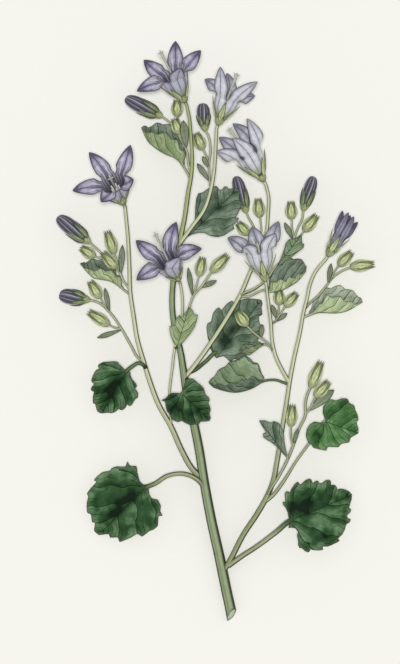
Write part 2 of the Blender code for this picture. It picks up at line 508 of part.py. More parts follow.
def smooth(points, count):
    """Open smooth curve through the points, sampled at even chord distances."""
    return hermite(points, np.linspace(0.0, chord_lengths(np.asarray(points, float))[-1], count))


def metres(points):
    """Plant points in millimetres as mesh points in metres."""
    return (np.asarray(points, float) - PLANT_CENTRE) * MM


def new_object(name, mesh, collection):
    """Object for a mesh, linked to one collection."""
    body = bpy.data.objects.new(name, mesh)
    collection.objects.link(body)
    return body


def mesh_object(name, points, faces):
    """Object from millimetre points and faces, every face turned outward."""
    mesh = bpy.data.meshes.new(name)
    mesh.from_pydata([tuple(p) for p in metres(points)], [], faces)
    work = bmesh.new()
    work.from_mesh(mesh)
    bmesh.ops.recalc_face_normals(work, faces=work.faces)
    work.to_mesh(mesh)
    work.free()
    return new_object(name, mesh, bpy.data.collections[CUTTERS])


def bake(body):
    """Apply the modifiers of an object to its mesh."""
    graph = bpy.context.evaluated_depsgraph_get()
    done = bpy.data.meshes.new_from_object(body.evaluated_get(graph))
    before = body.data
    body.modifiers.clear()
    body.data = done
    bpy.data.meshes.remove(before)


def discard(bodies):
    """Remove helper objects."""
    for body in bodies:
        bpy.data.objects.remove(body)


def tube(name, route, radii, sides):
    """Round stalk along a route of points, with the radius running through the given values."""
    route = np.asarray(route, float)
    along = chord_lengths(route)
    knots = np.linspace(0.0, along[-1], len(radii))
    curve = bpy.data.curves.new(name, "CURVE")
    curve.dimensions = "3D"
    curve.bevel_depth = MM
    curve.bevel_resolution = (sides - 4) // 2
    curve.use_fill_caps = True
    spline = curve.splines.new("POLY")
    spline.points.add(len(route) - 1)
    for point, place, radius in zip(spline.points, metres(route), np.interp(along, knots, radii)):
        point.co = (place[0], place[1], place[2], 1.0)
        point.radius = radius
    drawn = new_object(name + "_line", curve, bpy.data.collections[CUTTERS])
    graph = bpy.context.evaluated_depsgraph_get()
    mesh = bpy.data.meshes.new_from_object(drawn.evaluated_get(graph))
    work = bmesh.new()
    work.from_mesh(mesh)
    bmesh.ops.remove_doubles(work, verts=work.verts, dist=WELD)
    bmesh.ops.recalc_face_normals(work, faces=work.faces)
    work.to_mesh(mesh)
    work.free()
    body = new_object(name, mesh, bpy.data.collections[CUTTERS])
    body.matrix_world = drawn.matrix_world
    bpy.data.objects.remove(drawn)
    return body


def loft(name, rings, start=None, end=None):
    """Closed solid through rings of points, closed by an end point or by a flat end."""
    rings = np.asarray(rings, float)
    count, sides = rings.shape[:2]
    points = list(rings.reshape(-1, 3))
    faces = []
    for row in range(count - 1):
        for side in range(sides):
            after = (side + 1) % sides
            low = row * sides
            faces.append((low + side, low + after, low + sides + after, low + sides + side))
    for ring, apex in ((0, start), (count - 1, end)):
        first = ring * sides
        if apex is None:
            faces.append(tuple(range(first, first + sides)))
            continue
        points.append(np.asarray(apex, float))
        for side in range(sides):
            faces.append((first + side, first + (side + 1) % sides, len(points) - 1))
    return mesh_object(name, points, faces)


def sheet(name, points, faces, thickness):
    """Closed blade of even thickness from an open surface, triangulated alike on both faces."""
    body = mesh_object(name, points, faces)
    work = bmesh.new()
    work.from_mesh(body.data)
    bmesh.ops.triangulate(work, faces=work.faces)
    work.to_mesh(body.data)
    work.free()
    shell = body.modifiers.new("blade", "SOLIDIFY")
    shell.thickness = thickness * MM
    shell.offset = 0.0
    bake(body)
    work = bmesh.new()
    work.from_mesh(body.data)
    bmesh.ops.recalc_face_normals(work, faces=work.faces)
    work.to_mesh(body.data)
    work.free()
    return body


def combine(body, others, operation):
    """Boolean of a body with a set of others, applied, and the others removed."""
    if not others:
        return body
    group = bpy.data.collections.new(body.name + "_set")
    bpy.data.collections[CUTTERS].children.link(group)
    for other in others:
        group.objects.link(other)
    cut = body.modifiers.new("combine", "BOOLEAN")
    cut.operation = operation
    cut.solver = "EXACT"
    cut.operand_type = "COLLECTION"
    cut.collection = group
    bake(body)
    bpy.data.collections.remove(group)
    discard(others)
    return body


def merge_flats(body, angle):
    """Merge neighbouring triangles that lie nearly in one plane, and triangulate again."""
    work = bmesh.new()
    work.from_mesh(body.data)
    bmesh.ops.dissolve_limit(work, angle_limit=angle, verts=work.verts, edges=work.edges)
    bmesh.ops.triangulate(work, faces=work.faces)
    work.to_mesh(body.data)
    work.free()
    return body


def join(pieces, angle=FLAT_ANGLE):
    """One body from overlapping pieces, with no more triangles than its shape needs."""
    return merge_flats(combine(pieces[0], pieces[1:], "UNION"), angle)


def volume_of(faces):
    """Signed volume inside a set of triangles."""
    total = 0.0
    for face in faces:
        a, b, c = (loop.vert.co for loop in face.loops)
        total += a.dot(b.cross(c)) / 6.0
    return total


def keep_body(body):
    """Keep the one large body of a mesh and drop the scraps a cut has left."""
    work = bmesh.new()
    work.from_mesh(body.data)
    bmesh.ops.remove_doubles(work, verts=work.verts, dist=WELD)
    bmesh.ops.dissolve_degenerate(work, edges=work.edges, dist=WELD)
    bmesh.ops.triangulate(work, faces=work.faces)
    left = set(work.faces)
    islands = []
    while left:
        island = {left.pop()}
        edge_of_search = list(island)
        while edge_of_search:
            face = edge_of_search.pop()
            for edge in face.edges:
                for beside in edge.link_faces:
                    if beside in left:
                        left.discard(beside)
                        island.add(beside)
                        edge_of_search.append(beside)
        islands.append(island)
    sizes = [abs(volume_of(island)) for island in islands]
    largest = int(np.argmax(sizes))
    loose = sum(sizes) - sizes[largest]
    if loose > SCRAP_SHARE * sizes[largest]:
        raise ValueError(f"{body.name}: a loose part holds {loose / sizes[largest]:.2f} of the body")
    for number, island in enumerate(islands):
        if number != largest:
            bmesh.ops.delete(work, geom=list(island), context="FACES")
    bmesh.ops.recalc_face_normals(work, faces=work.faces)
    work.to_mesh(body.data)
    work.free()


def finish(body, name, finish_name):
    """Name, colour and shade a piece and move it to the plant's collection."""
    keep_body(body)
    body.name = name
    body.data.name = name
    bpy.data.collections[CUTTERS].objects.unlink(body)
    bpy.data.collections[PLANT].objects.link(body)
    colour, roughness = COLOURS[finish_name]
    material = bpy.data.materials.new(name)
    material.use_nodes = True
    shader = material.node_tree.nodes["Principled BSDF"]
    shader.inputs["Base Color"].default_value = (*colour, 1.0)
    shader.inputs["Roughness"].default_value = roughness
    shader.inputs["Metallic"].default_value = 0.0
    body.data.materials.clear()
    body.data.materials.append(material)
    body.data.shade_smooth()
    return body


def stem_pieces(extra):
    """Every stem piece as a tube, grown by the extra amount all round and at its root."""
    bodies = []
    for number, (route, radii, flower, sides, count) in enumerate(STEM_PIECES):
        end = FLOWERS[flower]
        shoulder = end.base - end.axis * STALK_STRAIGHT
        line = np.vstack([smooth(np.vstack([route, shoulder]), count), end.base])
        line[0] -= unit(line[1] - line[0]) * extra
        widened = np.array(radii) + extra
        bodies.append(tube(f"stem_{number}", line, widened, sides))
    return bodies


def box(name, centre, size, turn=0.0):
    """Rectangular block, turned about the vertical."""
    corners = np.array([(x, y, z) for x in (-0.5, 0.5) for y in (-0.5, 0.5) for z in (-0.5, 0.5)])
    corners = corners * np.array(size)
    swing = np.array([[np.cos(turn), np.sin(turn), 0], [-np.sin(turn), np.cos(turn), 0], [0, 0, 1]])
    faces = [(0, 1, 3, 2), (4, 6, 7, 5), (0, 4, 5, 1), (2, 3, 7, 6), (0, 2, 6, 4), (1, 5, 7, 3)]
    return mesh_object(name, corners @ swing + np.array(centre), faces)


def build_stem():
    """The branching stem in one body, with a slanting cut end and a flat under it."""
    body = join(stem_pieces(0.0), FINE_FLAT_ANGLE)
    size = np.array(GROUND_BLOCK)
    end = np.array(CUT_POINT)
    reach = size[1] / 2
    below = box("ground", (end[0], end[1], -size[2] / 2), size)
    away = np.array([np.sin(CUT_TURN) * reach, -np.cos(CUT_TURN) * reach, 0.0])
    beyond = box("slant", end + away, (size[0], size[1], size[0]), CUT_TURN)
    combine(body, [below, beyond], "DIFFERENCE")
    return finish(body, "stem", "stem")


def toothed_outline(leaf):
    """Blade outline from base to tip and back, with its teeth and without them."""
    points = np.array(leaf.outline, float)
    along = chord_lengths(np.vstack([points, points[:1]]))
    steps = 2 * leaf.teeth + 1
    first = np.linspace(0.0, along[leaf.tip], steps)
    second = np.linspace(along[leaf.tip], along[-1], steps)
    ring = hermite(points, np.concatenate([first, second[1:-1]]), closed=True)
    ahead = unit(np.roll(ring, -1, axis=0) - np.roll(ring, 1, axis=0))
    across = np.stack([ahead[:, 1], -ahead[:, 0]], axis=1)
    area = np.sum(ring[:, 0] * np.roll(ring[:, 1], -1) - ring[:, 1] * np.roll(ring[:, 0], -1))
    across = across * np.sign(area)
    number = np.arange(len(ring))
    push = np.where(number % 2 == 1, TOOTH_OUT, -TOOTH_IN) * leaf.depth
    push[0] = 0.0
    push[2 * leaf.teeth] = 0.5 * leaf.depth
    forward = np.where(number < 2 * leaf.teeth, 1.0, -1.0) * np.where(number % 2 == 1, 0.5, 0.0)
    toothed = ring + across * push[:, None] + ahead * (forward * leaf.depth)[:, None]
    return ring, toothed


def build_flat_leaf(name, leaf, stem_room):
    """Open leaf: toothed blade with its stalk carried on as a rib beneath it."""
    ring, toothed = toothed_outline(leaf)
    navel = leaf.base + leaf.along * leaf.length * leaf.navel
    rows = [navel + (ring - navel) * BLADE_RING, toothed]
    flat = np.vstack([navel[None]] + rows)
    points = np.column_stack([flat, leaf.height(flat)])
    sides = len(ring)
    faces = [(0, 1 + i, 1 + (i + 1) % sides) for i in range(sides)]
    for row in range(len(rows) - 1):
        low = 1 + row * sides
        for i in range(sides):
            after = (i + 1) % sides
            faces.append((low + i, low + sides + i, low + sides + after, low + after))
    blade = sheet(name, points, faces, BLADE_THICKNESS)
    shares = np.linspace(0.15, leaf.rib, 4)
    under = leaf.base + leaf.along * leaf.length * shares[:, None]
    rib = np.column_stack([under, leaf.height(under) - RIB_DEPTH])
    stalk = smooth(np.vstack([leaf.stalk, rib]), 5 + int(1.3 * len(leaf.stalk)))
    radii = (*leaf.radii, leaf.radii[-1], RIB_END_RADIUS)
    body = join([blade, tube(name + "_stalk", stalk, radii, 6)])
    combine(body, [stem_room()], "DIFFERENCE")
    return finish(body, name, LEAF_COLOURS.get(name, "blue_leaf"))


def folded_grid(leaf):
    """Rows of points across a folded leaf, from near margin over the keel to far margin."""
    keel = np.array(leaf.keel[leaf.blade_from:], float)
    steps = 2 * leaf.teeth + 1
    shares = np.linspace(0.0, 1.0, steps + 1)[1:-1]
    lines = []
    for margin in (leaf.near, leaf.far):
        ends = np.vstack([keel[:1, :2], np.array(margin, float), keel[-1:, :2]])
        lines.append(hermite(ends, shares * chord_lengths(ends)[-1]))
    middle = hermite(keel, shares * chord_lengths(keel)[-1])
    number = np.arange(len(shares))
    push = np.where(number % 2 == 1, TOOTH_OUT, -TOOTH_IN) * leaf.depth
    halves = []
    for line, rise in zip(lines, leaf.rise):
        away = line - middle[:, :2]
        reach = np.linalg.norm(away, axis=1)
        line = line + away / np.maximum(reach, 0.5)[:, None] * push[:, None]
        level = middle[:, 2] + rise * reach
        halves.append(np.column_stack([line, level]))
    near, far = halves
    near[:, 2] += FOLD_OPENING
    far[:, 2] -= FOLD_OPENING
    bend = far * 0.5 + middle * 0.5
    if leaf.rests:
        away = np.maximum(np.abs(shares - REST_PLACE) - REST_REACH, 0.0)
        far[:, 2] = REST_LEVEL + REST_RISE * away ** 2
        bend = far * 0.6 + middle * 0.4
        bend[:, 2] = far[:, 2]
    grid = np.stack([near, near * 0.5 + middle * 0.5, middle, bend, far], axis=1)
    return keel, grid


def build_folded_leaf(name, leaf, stem_room):
    """Leaf folded along its keel, with its stalk carried on as a rib along the keel."""
    keel, grid = folded_grid(leaf)
    count, columns = grid.shape[:2]
    points = np.vstack([keel[:1], grid.reshape(-1, 3), keel[-1:]])
    last = len(points) - 1
    faces = []
    for column in range(columns - 1):
        faces.append((0, 1 + column, 2 + column))
        top = 1 + (count - 1) * columns + column
        faces.append((last, top + 1, top))
        for row in range(count - 1):
            low = 1 + row * columns + column
            faces.append((low, low + columns, low + columns + 1, low + 1))
    blade = sheet(name, points, faces, RESTING_THICKNESS if leaf.rests else BLADE_THICKNESS)
    stalk = np.array(leaf.keel[:-2], float)
    route = smooth(stalk, 2 * len(stalk) - 2)
    body = join([blade, tube(name + "_stalk", route, leaf.radii, 4)], FINE_FLAT_ANGLE)
    cuts = [stem_room()]
    if leaf.rests:
        size = np.array(GROUND_BLOCK)
        middle = grid.reshape(-1, 3).mean(axis=0)
        cuts.append(box("ground", (middle[0], middle[1], -size[2] / 2), size * REST_BLOCK_SHARE))
    combine(body, cuts, "DIFFERENCE")
    return finish(body, name, LEAF_COLOURS.get(name, "blue_leaf"))


def diamond_strip(name, line, across, widths, thickness):
    """Slender leaf of diamond section along a line, pointed at both ends."""
    line = np.asarray(line, float)
    ahead = unit(np.gradient(line, axis=0))
    side = unit(across - ahead * np.sum(ahead * across, axis=1, keepdims=True))
    out = np.cross(ahead, side)
    rings = []
    for place, width, aside, normal in zip(line[1:-1], widths, side[1:-1], out[1:-1]):
        edge = aside * width
        face = normal * thickness / 2
        rings.append((place + edge, place + face, place - edge, place - face))
    return loft(name, rings, line[0], line[-1])


def round_ring(flower, height, radius, sides, ribs=0.0):
    """Ring of points about a flower's axis, swelling in five ribs."""
    angles = np.arange(sides) * 2 * np.pi / sides
    radii = radius * (1 + ribs * np.cos(5 * angles))
    return [flower.place(height, r, a + flower.turn) for r, a in zip(radii, angles)]


def build_calyx(name, flower):
    """Ovary with five narrow sepals."""
    ovary = loft(name, [round_ring(flower, h, r, OVARY_SIDES) for h, r in OVARY_RINGS])
    sepals = []
    for number in range(5):
        angle = flower.turn + np.radians(36 + 72 * number)
        shrink = max(flower.mouth / USUAL_MOUTH, SEPAL_LEAST_SHARE)
        line = [flower.place(h, 1.0 + (r - 1.0) * (shrink if i > 1 else 1.0), angle)
                for i, (h, r) in enumerate(SEPAL_ROUTE)]
        across = np.cross(flower.axis, flower.outward(angle))
        sepals.append(diamond_strip(f"{name}_{number}", line, across, SEPAL_WIDTHS, SMALL_BLADE_THICKNESS))
    return finish(join([ovary] + sepals), name, "calyx")


def lobe(flower, number):
    """Rows of one corolla lobe, and its tip."""
    angle = flower.turn + np.radians(72 * number)
    out = flower.outward(angle)
    start = flower.place(BELL_BASE + flower.bell, flower.mouth, angle)
    tip = flower.tips[number]
    length = np.linalg.norm(tip - start)
    leave = unit(flower.axis + out * flower.flare)
    bend = start + leave * LOBE_BEND * length
    u = np.array(LOBE_ROWS)[:, None]
    line = start * (1 - u) ** 2 + bend * 2 * u * (1 - u) + tip * u * u
    ahead = unit((bend - start) * (1 - u) + (tip - bend) * u)
    shown = np.array([0.0, 0.0, -1.0 if out[2] < flower.inner_below else 1.0])
    twist = LOBE_TWIST * np.clip(u / 0.4, 0.0, 1.0)
    side = unit(np.cross(ahead, unit(out * (1 - twist) + shown * twist)))
    blend = np.clip(u / 0.5, 0.0, 1.0)
    normal = unit(out * (1 - blend) + np.cross(side, ahead) * blend)
    half = flower.mouth * np.sin(np.radians(36)) * (1 - u) ** 0.8 * (1 + 1.45 * u)
    arc = np.radians(36 - 26 * np.clip(u / 0.7, 0, 1))
    t = np.linspace(-1.0, 1.0, LOBE_COLUMNS + 1)[None, :]
    aside = half * np.sin(t * arc) / np.sin(arc)
    inward = half * (1 - np.cos(t * arc)) / np.sin(arc)
    rows = (line[:, None, :] + side[:, None, :] * aside[:, :, None]
            - normal[:, None, :] * inward[:, :, None])
    return rows, tip


def build_corolla(name, flower):
    """Bell with five lobes as one shell, open through its base."""
    around = 5 * LOBE_COLUMNS
    angles = (np.arange(around) - LOBE_COLUMNS / 2) * 2 * np.pi / around + flower.turn
    points = []
    for height, share in zip(BELL_HEIGHTS, BELL_SHARES):
        level = BELL_BASE + height * flower.bell / BELL_HEIGHTS[-1]
        points += [flower.place(level, flower.mouth * share, a) for a in angles]
    faces = []
    for row in range(len(BELL_HEIGHTS) - 1):
        low = row * around
        for i in range(around):
            after = (i + 1) % around
            faces.append((low + i, low + after, low + around + after, low + around + i))
    rim = (len(BELL_HEIGHTS) - 1) * around
    for number in range(5):
        rows, tip = lobe(flower, number)
        before = [rim + (number * LOBE_COLUMNS + j) % around for j in range(LOBE_COLUMNS + 1)]
        for row in rows:
            here = list(range(len(points), len(points) + LOBE_COLUMNS + 1))
            points += list(row)
            for j in range(LOBE_COLUMNS):
                faces.append((before[j], before[j + 1], here[j + 1], here[j]))
            before = here
        points.append(tip)
        for j in range(LOBE_COLUMNS):
            faces.append((before[j], before[j + 1], len(points) - 1))
    return finish(sheet(name, points, faces, PETAL_THICKNESS), name, "petal")


def build_pistil(name, flower):
    """Style with three stigma arms, and five anthers round its foot."""
    foot = loft(name, [round_ring(flower, BELL_BASE + h, r, 6) for h, r in ((0.45, 1.0), (1.1, 1.0))])
    start = flower.place(BELL_BASE - 0.15, 0.0, 0.0)
    rise = flower.place(BELL_BASE + 5.0, 0.0, 0.0)
    end = np.array(flower.style_tip, float)
    style = smooth(np.vstack([start, rise, (rise + end) / 2, end]), 4)
    pieces = [tube(name + "_style", style, STYLE_RADII, 4)]
    ahead = unit(end - rise)
    sideways = unit(np.cross(ahead, flower.right))
    third = np.cross(ahead, sideways)
    for number in range(3):
        angle = np.radians(120 * number)
        out = sideways * np.cos(angle) + third * np.sin(angle)
        arm = np.vstack([end - ahead * 0.5 + out * 0.05, end + ahead * 0.9 + out * 1.5])
        pieces.append(tube(f"{name}_arm_{number}", arm, ARM_RADII, 4))
    for number in range(5):
        angle = flower.turn + np.radians(36 + 72 * number)
        line = [flower.place(BELL_BASE + h, r, angle) for h, r in (STAMEN_FOOT, STAMEN_TIP)]
        pieces.append(tube(f"{name}_anther_{number}", line, STAMEN_RADII, 4))
    return finish(join([foot] + pieces), name, "pistil")


def bud_axis(base, tip):
    """Frame for a bud: its foot, the way it points, and its length."""
    base = np.array(base, float)
    reach = np.array(tip, float) - base
    return Flower(base, reach, 0, np.zeros((5, 3))), np.linalg.norm(reach)


def green_bud(name, base, tip, radius):
    """Closed green bud: ribbed ovary and calyx ending in a five-pointed crown."""
    bud, length = bud_axis(base, tip)
    shape = ((0.0, 0.45, 0.0), (0.38, 0.98, 0.08))
    rings = [round_ring(bud, length * h, radius * r, BUD_SIDES, ribs) for h, r, ribs in shape]
    angles = np.arange(BUD_SIDES) * 2 * np.pi / BUD_SIDES
    points = np.arange(BUD_SIDES) % 2 == 0
    heights = np.where(points, 1.0, 0.84)
    radii = np.where(points, 0.36, 0.62)
    rings.append([bud.place(length * h, radius * r, a) for h, r, a in zip(heights, radii, angles)])
    return loft(name, rings, None, bud.place(length * 0.86, 0.0, 0.0))


def bud_calyx(name, base, tip, radius):
    """Ovary and five sepals clasping a violet bud."""
    bud, length = bud_axis(base, tip)
    rings = ((0.0, 0.7), (1.7, 1.65), (BUD_FOOT, 1.5))
    pieces = []
    reach = 0.62 * length
    for number in range(5):
        angle = np.radians(36 + 72 * number)
        clasp = radius + CLEARANCE + 0.4
        route = ((2.0, 1.0), (2.7, 2.3), (3.6, 0.86 * clasp), (0.5 * reach + 1.8, clasp),
                 (reach, clasp))
        line = [bud.place(h, r, angle) for h, r in route]
        across = np.cross(bud.axis, bud.outward(angle))
        pieces.append(diamond_strip(f"{name}_{number}", line, across, (0.7, 0.85, 0.7),
                                    SMALL_BLADE_THICKNESS))
    return [loft(name, [round_ring(bud, h, r, OVARY_SIDES) for h, r in rings])] + pieces


def build_violet_bud(name, base, tip, radius):
    """Unopened corolla: five-pleated spindle above the ovary."""
    bud, length = bud_axis(base, tip)
    foot = BUD_FOOT + CLEARANCE
    span = length - foot
    shape = ((0.0, 0.42, 0.0), (0.16, 0.78, 0.03), (0.42, 0.98, 0.05), (0.66, 0.95, 0.08),
             (0.88, 0.62, 0.08))
    rings = [round_ring(bud, foot + span * h, radius * r, BUD_SIDES, ribs) for h, r, ribs in shape]
    body = loft(name, rings, None, bud.place(length, 0.0, 0.0))
    return finish(body, name, "violet")


def bract(name, root, tip, half_width):
    """Small narrow leaf beside a bud, bent gently toward the viewer."""
    root = np.array(root, float)
    tip = np.array(tip, float)
    shares = np.array([0.0, 0.25, 0.55, 0.82, 1.0])[:, None]
    line = root + (tip - root) * shares + np.array([0, 0, 0.5]) * np.sin(np.pi * shares)
    across = np.cross(unit(tip - root), np.array([0.0, 0.0, 1.0]))
    widths = (half_width * 0.8, half_width, half_width * 0.6)
    return diamond_strip(name, line, across, widths, SMALL_BLADE_THICKNESS + 0.1)


def build_spray(name, spray, stem_room):
    """One side spray, its stalks, green buds, calyces and bracteoles fused."""
    pieces = []
    for number, (route, radius) in enumerate(spray.stalks):
        sides = 6 if number == 0 else 4
        line = smooth(route, len(route) + 1)
        pieces.append(tube(f"{name}_stalk_{number}", line, (radius, radius * 0.92), sides))
    for number, (base, tip, radius) in enumerate(spray.green):
        pieces.append(green_bud(f"{name}_bud_{number}", base, tip, radius))
    for number, (base, tip, radius) in enumerate(spray.violet):
        pieces += bud_calyx(f"{name}_calyx_{number}", base, tip, radius)
    for number, (root, tip, half_width) in enumerate(spray.bracts):
        pieces.append(bract(f"{name}_bract_{number}", root, tip, half_width))
    body = join(pieces)
    combine(body, [stem_room()], "DIFFERENCE")
    return finish(body, name, "spray")


def start_scene():
    """Empty the scene and add the two collections."""
    for body in list(bpy.data.objects):
        bpy.data.objects.remove(body)
    for name in (PLANT, CUTTERS):
        bpy.context.scene.collection.children.link(bpy.data.collections.new(name))


def build_plant():
    """Every piece of the sprig."""
    start_scene()
    build_stem()
    bodies = stem_pieces(CLEARANCE)
    room = combine(bodies[0], bodies[1:], "UNION")
    room.name = "stem_clearance"
    room.display_type = "WIRE"
    room.hide_render = True

    def stem_room():
        """Fresh copy of the stem's clearance, used up by one cut."""
        return new_object("stem_room", room.data.copy(), bpy.data.collections[CUTTERS])

    for name, leaf in FLAT_LEAVES.items():
        build_flat_leaf(name, leaf, stem_room)
    for name, leaf in FOLDED_LEAVES.items():
        build_folded_leaf(name, leaf, stem_room)
    for name, flower in FLOWERS.items():
        build_corolla("corolla_" + name, flower)
        build_calyx("calyx_" + name, flower)
        if flower.style_tip is not None:
            build_pistil("pistil_" + name, flower)
    for name, spray in SPRAYS.items():
        build_spray(name, spray, stem_room)
        for base, tip, radius in spray.violet:
            build_violet_bud(name.replace("spray", "violet_bud"), base, tip, radius)


build_plant()
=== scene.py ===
"""Campanula sprig lying on a pale table: ribbed stem, veined leaves, open bells and buds.

Shapes are worked out in millimetres as whole numpy arrays and stored in metres, in the frame
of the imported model: +X to the right, +Y toward the flowering top, +Z up from the table.
"""
import logging
from abc import ABC, abstractmethod
from collections.abc import Callable
from dataclasses import dataclass, field
from enum import Enum

import bpy
import numpy as np
import numpy.typing as npt
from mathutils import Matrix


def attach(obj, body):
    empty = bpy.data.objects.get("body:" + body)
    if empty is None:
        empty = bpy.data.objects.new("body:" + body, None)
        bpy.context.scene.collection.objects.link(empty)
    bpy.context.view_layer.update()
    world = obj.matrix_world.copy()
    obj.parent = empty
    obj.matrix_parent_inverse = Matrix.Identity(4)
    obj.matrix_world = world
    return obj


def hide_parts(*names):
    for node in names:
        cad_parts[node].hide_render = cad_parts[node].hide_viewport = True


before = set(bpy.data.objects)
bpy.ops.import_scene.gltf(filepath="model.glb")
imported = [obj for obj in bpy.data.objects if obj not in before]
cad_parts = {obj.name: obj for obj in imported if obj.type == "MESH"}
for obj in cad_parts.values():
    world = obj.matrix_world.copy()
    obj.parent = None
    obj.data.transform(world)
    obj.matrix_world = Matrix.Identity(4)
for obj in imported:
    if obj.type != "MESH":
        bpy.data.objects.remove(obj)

Array = npt.NDArray[np.float64]
Places = npt.NDArray[np.int64]
Point = tuple[float, ...]
Line = tuple[Point, ...]
Shoots = tuple[tuple[Point, Point, float], ...]

LOG = logging.getLogger("campanula")
MM = 0.001
UPWARD = np.array([0.0, 0.0, 1.0])
PLANT_CENTRE = np.array([0.65, -0.38, 0.0])
TABLE_GAP = 0.02

# Points are merged when they round to the same step of this many to a millimetre
WELD_STEPS = 2e4

# Lobes, sepals and pleats of a flower or bud, and the degrees between neighbours
LOBES = 5
LOBE_TURN = 72.0

# Ribs of a stalk and their depth as a share of its radius
STALK_RIBS = 5
RIB_DEPTH = 0.05

# Domed ends of stalks, as shares of the radius there
DOME_RISE = 0.35
DOME_SHOULDER = 0.25
DOME_RADIUS = 0.7

# Greatest thickness of petals and of blades, and how far in from its margin a blade reaches it
PETAL_THICKNESS = 0.34
BLADE_THICKNESS = 0.42
THIN_RIM = 0.6


# Shape maths

def evenly(count: int) -> Array:
    """Even shares from 0 to 1."""
    return np.linspace(0.0, 1.0, count)


def unit(vectors: Array) -> Array:
    """Vectors scaled to length one, their components along the last axis."""
    vectors = np.asarray(vectors, float)
    return vectors / np.maximum(np.linalg.norm(vectors, axis=-1, keepdims=True), 1e-12)


def chord_lengths(points: Array) -> Array:
    """Distance from the first point to each point, along the straight lines between them."""
    steps = np.linalg.norm(np.diff(points, axis=0), axis=1)
    return np.concatenate([[0.0], np.cumsum(steps)])


def hermite(points: Array, places: Array, closed: bool = False) -> Array:
    """Cubic curve through the points, whose slope at each is the mean of its two chords' slopes.

    Args:
        points: Points the curve passes through.
        places: Distances along the chords at which the curve is read.
        closed: Whether the last point joins the first.

    Returns:
        One point of the curve for each distance.
    """
    points = np.asarray(points, float)
    if closed:
        points = np.vstack([points, points[:1]])
    along = chord_lengths(points)
    gaps = np.diff(along)[:, None]
    slopes = np.diff(points, axis=0) / gaps
    inner = (slopes[:-1] * gaps[1:] + slopes[1:] * gaps[:-1]) / (gaps[1:] + gaps[:-1])
    first, last = slopes[:1], slopes[-1:]
    if closed:
        first = (slopes[-1:] * gaps[0] + slopes[:1] * gaps[-1]) / (gaps[0] + gaps[-1])
        last = first
    tangents = np.vstack([first, inner, last])
    places = np.clip(places, 0.0, along[-1])
    spans = np.clip(np.searchsorted(along, places, side="right") - 1, 0, len(gaps) - 1)
    width = gaps[spans]
    t = (places - along[spans])[:, None] / width
    start = points[spans] * (1 + 2 * t) * (1 - t) ** 2 + points[spans + 1] * t * t * (3 - 2 * t)
    bend = tangents[spans] * t * (1 - t) ** 2 - tangents[spans + 1] * t * t * (1 - t)
    return start + bend * width


def smooth_line(points: Array, count: int) -> Array:
    """Smooth open curve through the points, read at even chord distances."""
    points = np.asarray(points, float)
    return hermite(points, np.linspace(0.0, chord_lengths(points)[-1], count))


def step_up(values: Array, low: float, high: float) -> Array:
    """Smooth step 3t^2 - 2t^3, from 0 at the low value to 1 at the high one."""
    t = np.clip((np.asarray(values, float) - low) / (high - low), 0.0, 1.0)
    return t * t * (3 - 2 * t)


def grid_triangles(rows: int, columns: int, wrap: bool = False) -> Places:
    """Two triangles for each cell of a grid of points numbered row by row.

    Args:
        rows: Rows of points.
        columns: Columns of points.
        wrap: Whether the last column joins the first.

    Returns:
        Corner numbers, three to a triangle.
    """
    across = columns if wrap else columns - 1
    row, column = np.meshgrid(np.arange(rows - 1), np.arange(across), indexing="ij")
    after = (column + 1) % columns
    a, b = row * columns + column, row * columns + after
    c, d = (row + 1) * columns + after, (row + 1) * columns + column
    halves = np.stack([np.stack([a, b, c], -1), np.stack([a, c, d], -1)], axis=2)
    return halves.reshape(-1, 3)


def corner_normals(points: Array, triangles: Places) -> Array:
    """Direction of a surface at its points, the area-weighted mean of the triangles round each.

    Args:
        points: Points of the surface.
        triangles: Its triangles.

    Returns:
        One direction of length one for each point.
    """
    a, b, c = (points[triangles[:, i]] for i in range(3))
    facing = np.cross(b - a, c - a)
    total = np.zeros_like(points)
    for corner in range(3):
        np.add.at(total, triangles[:, corner], facing)
    return unit(total)


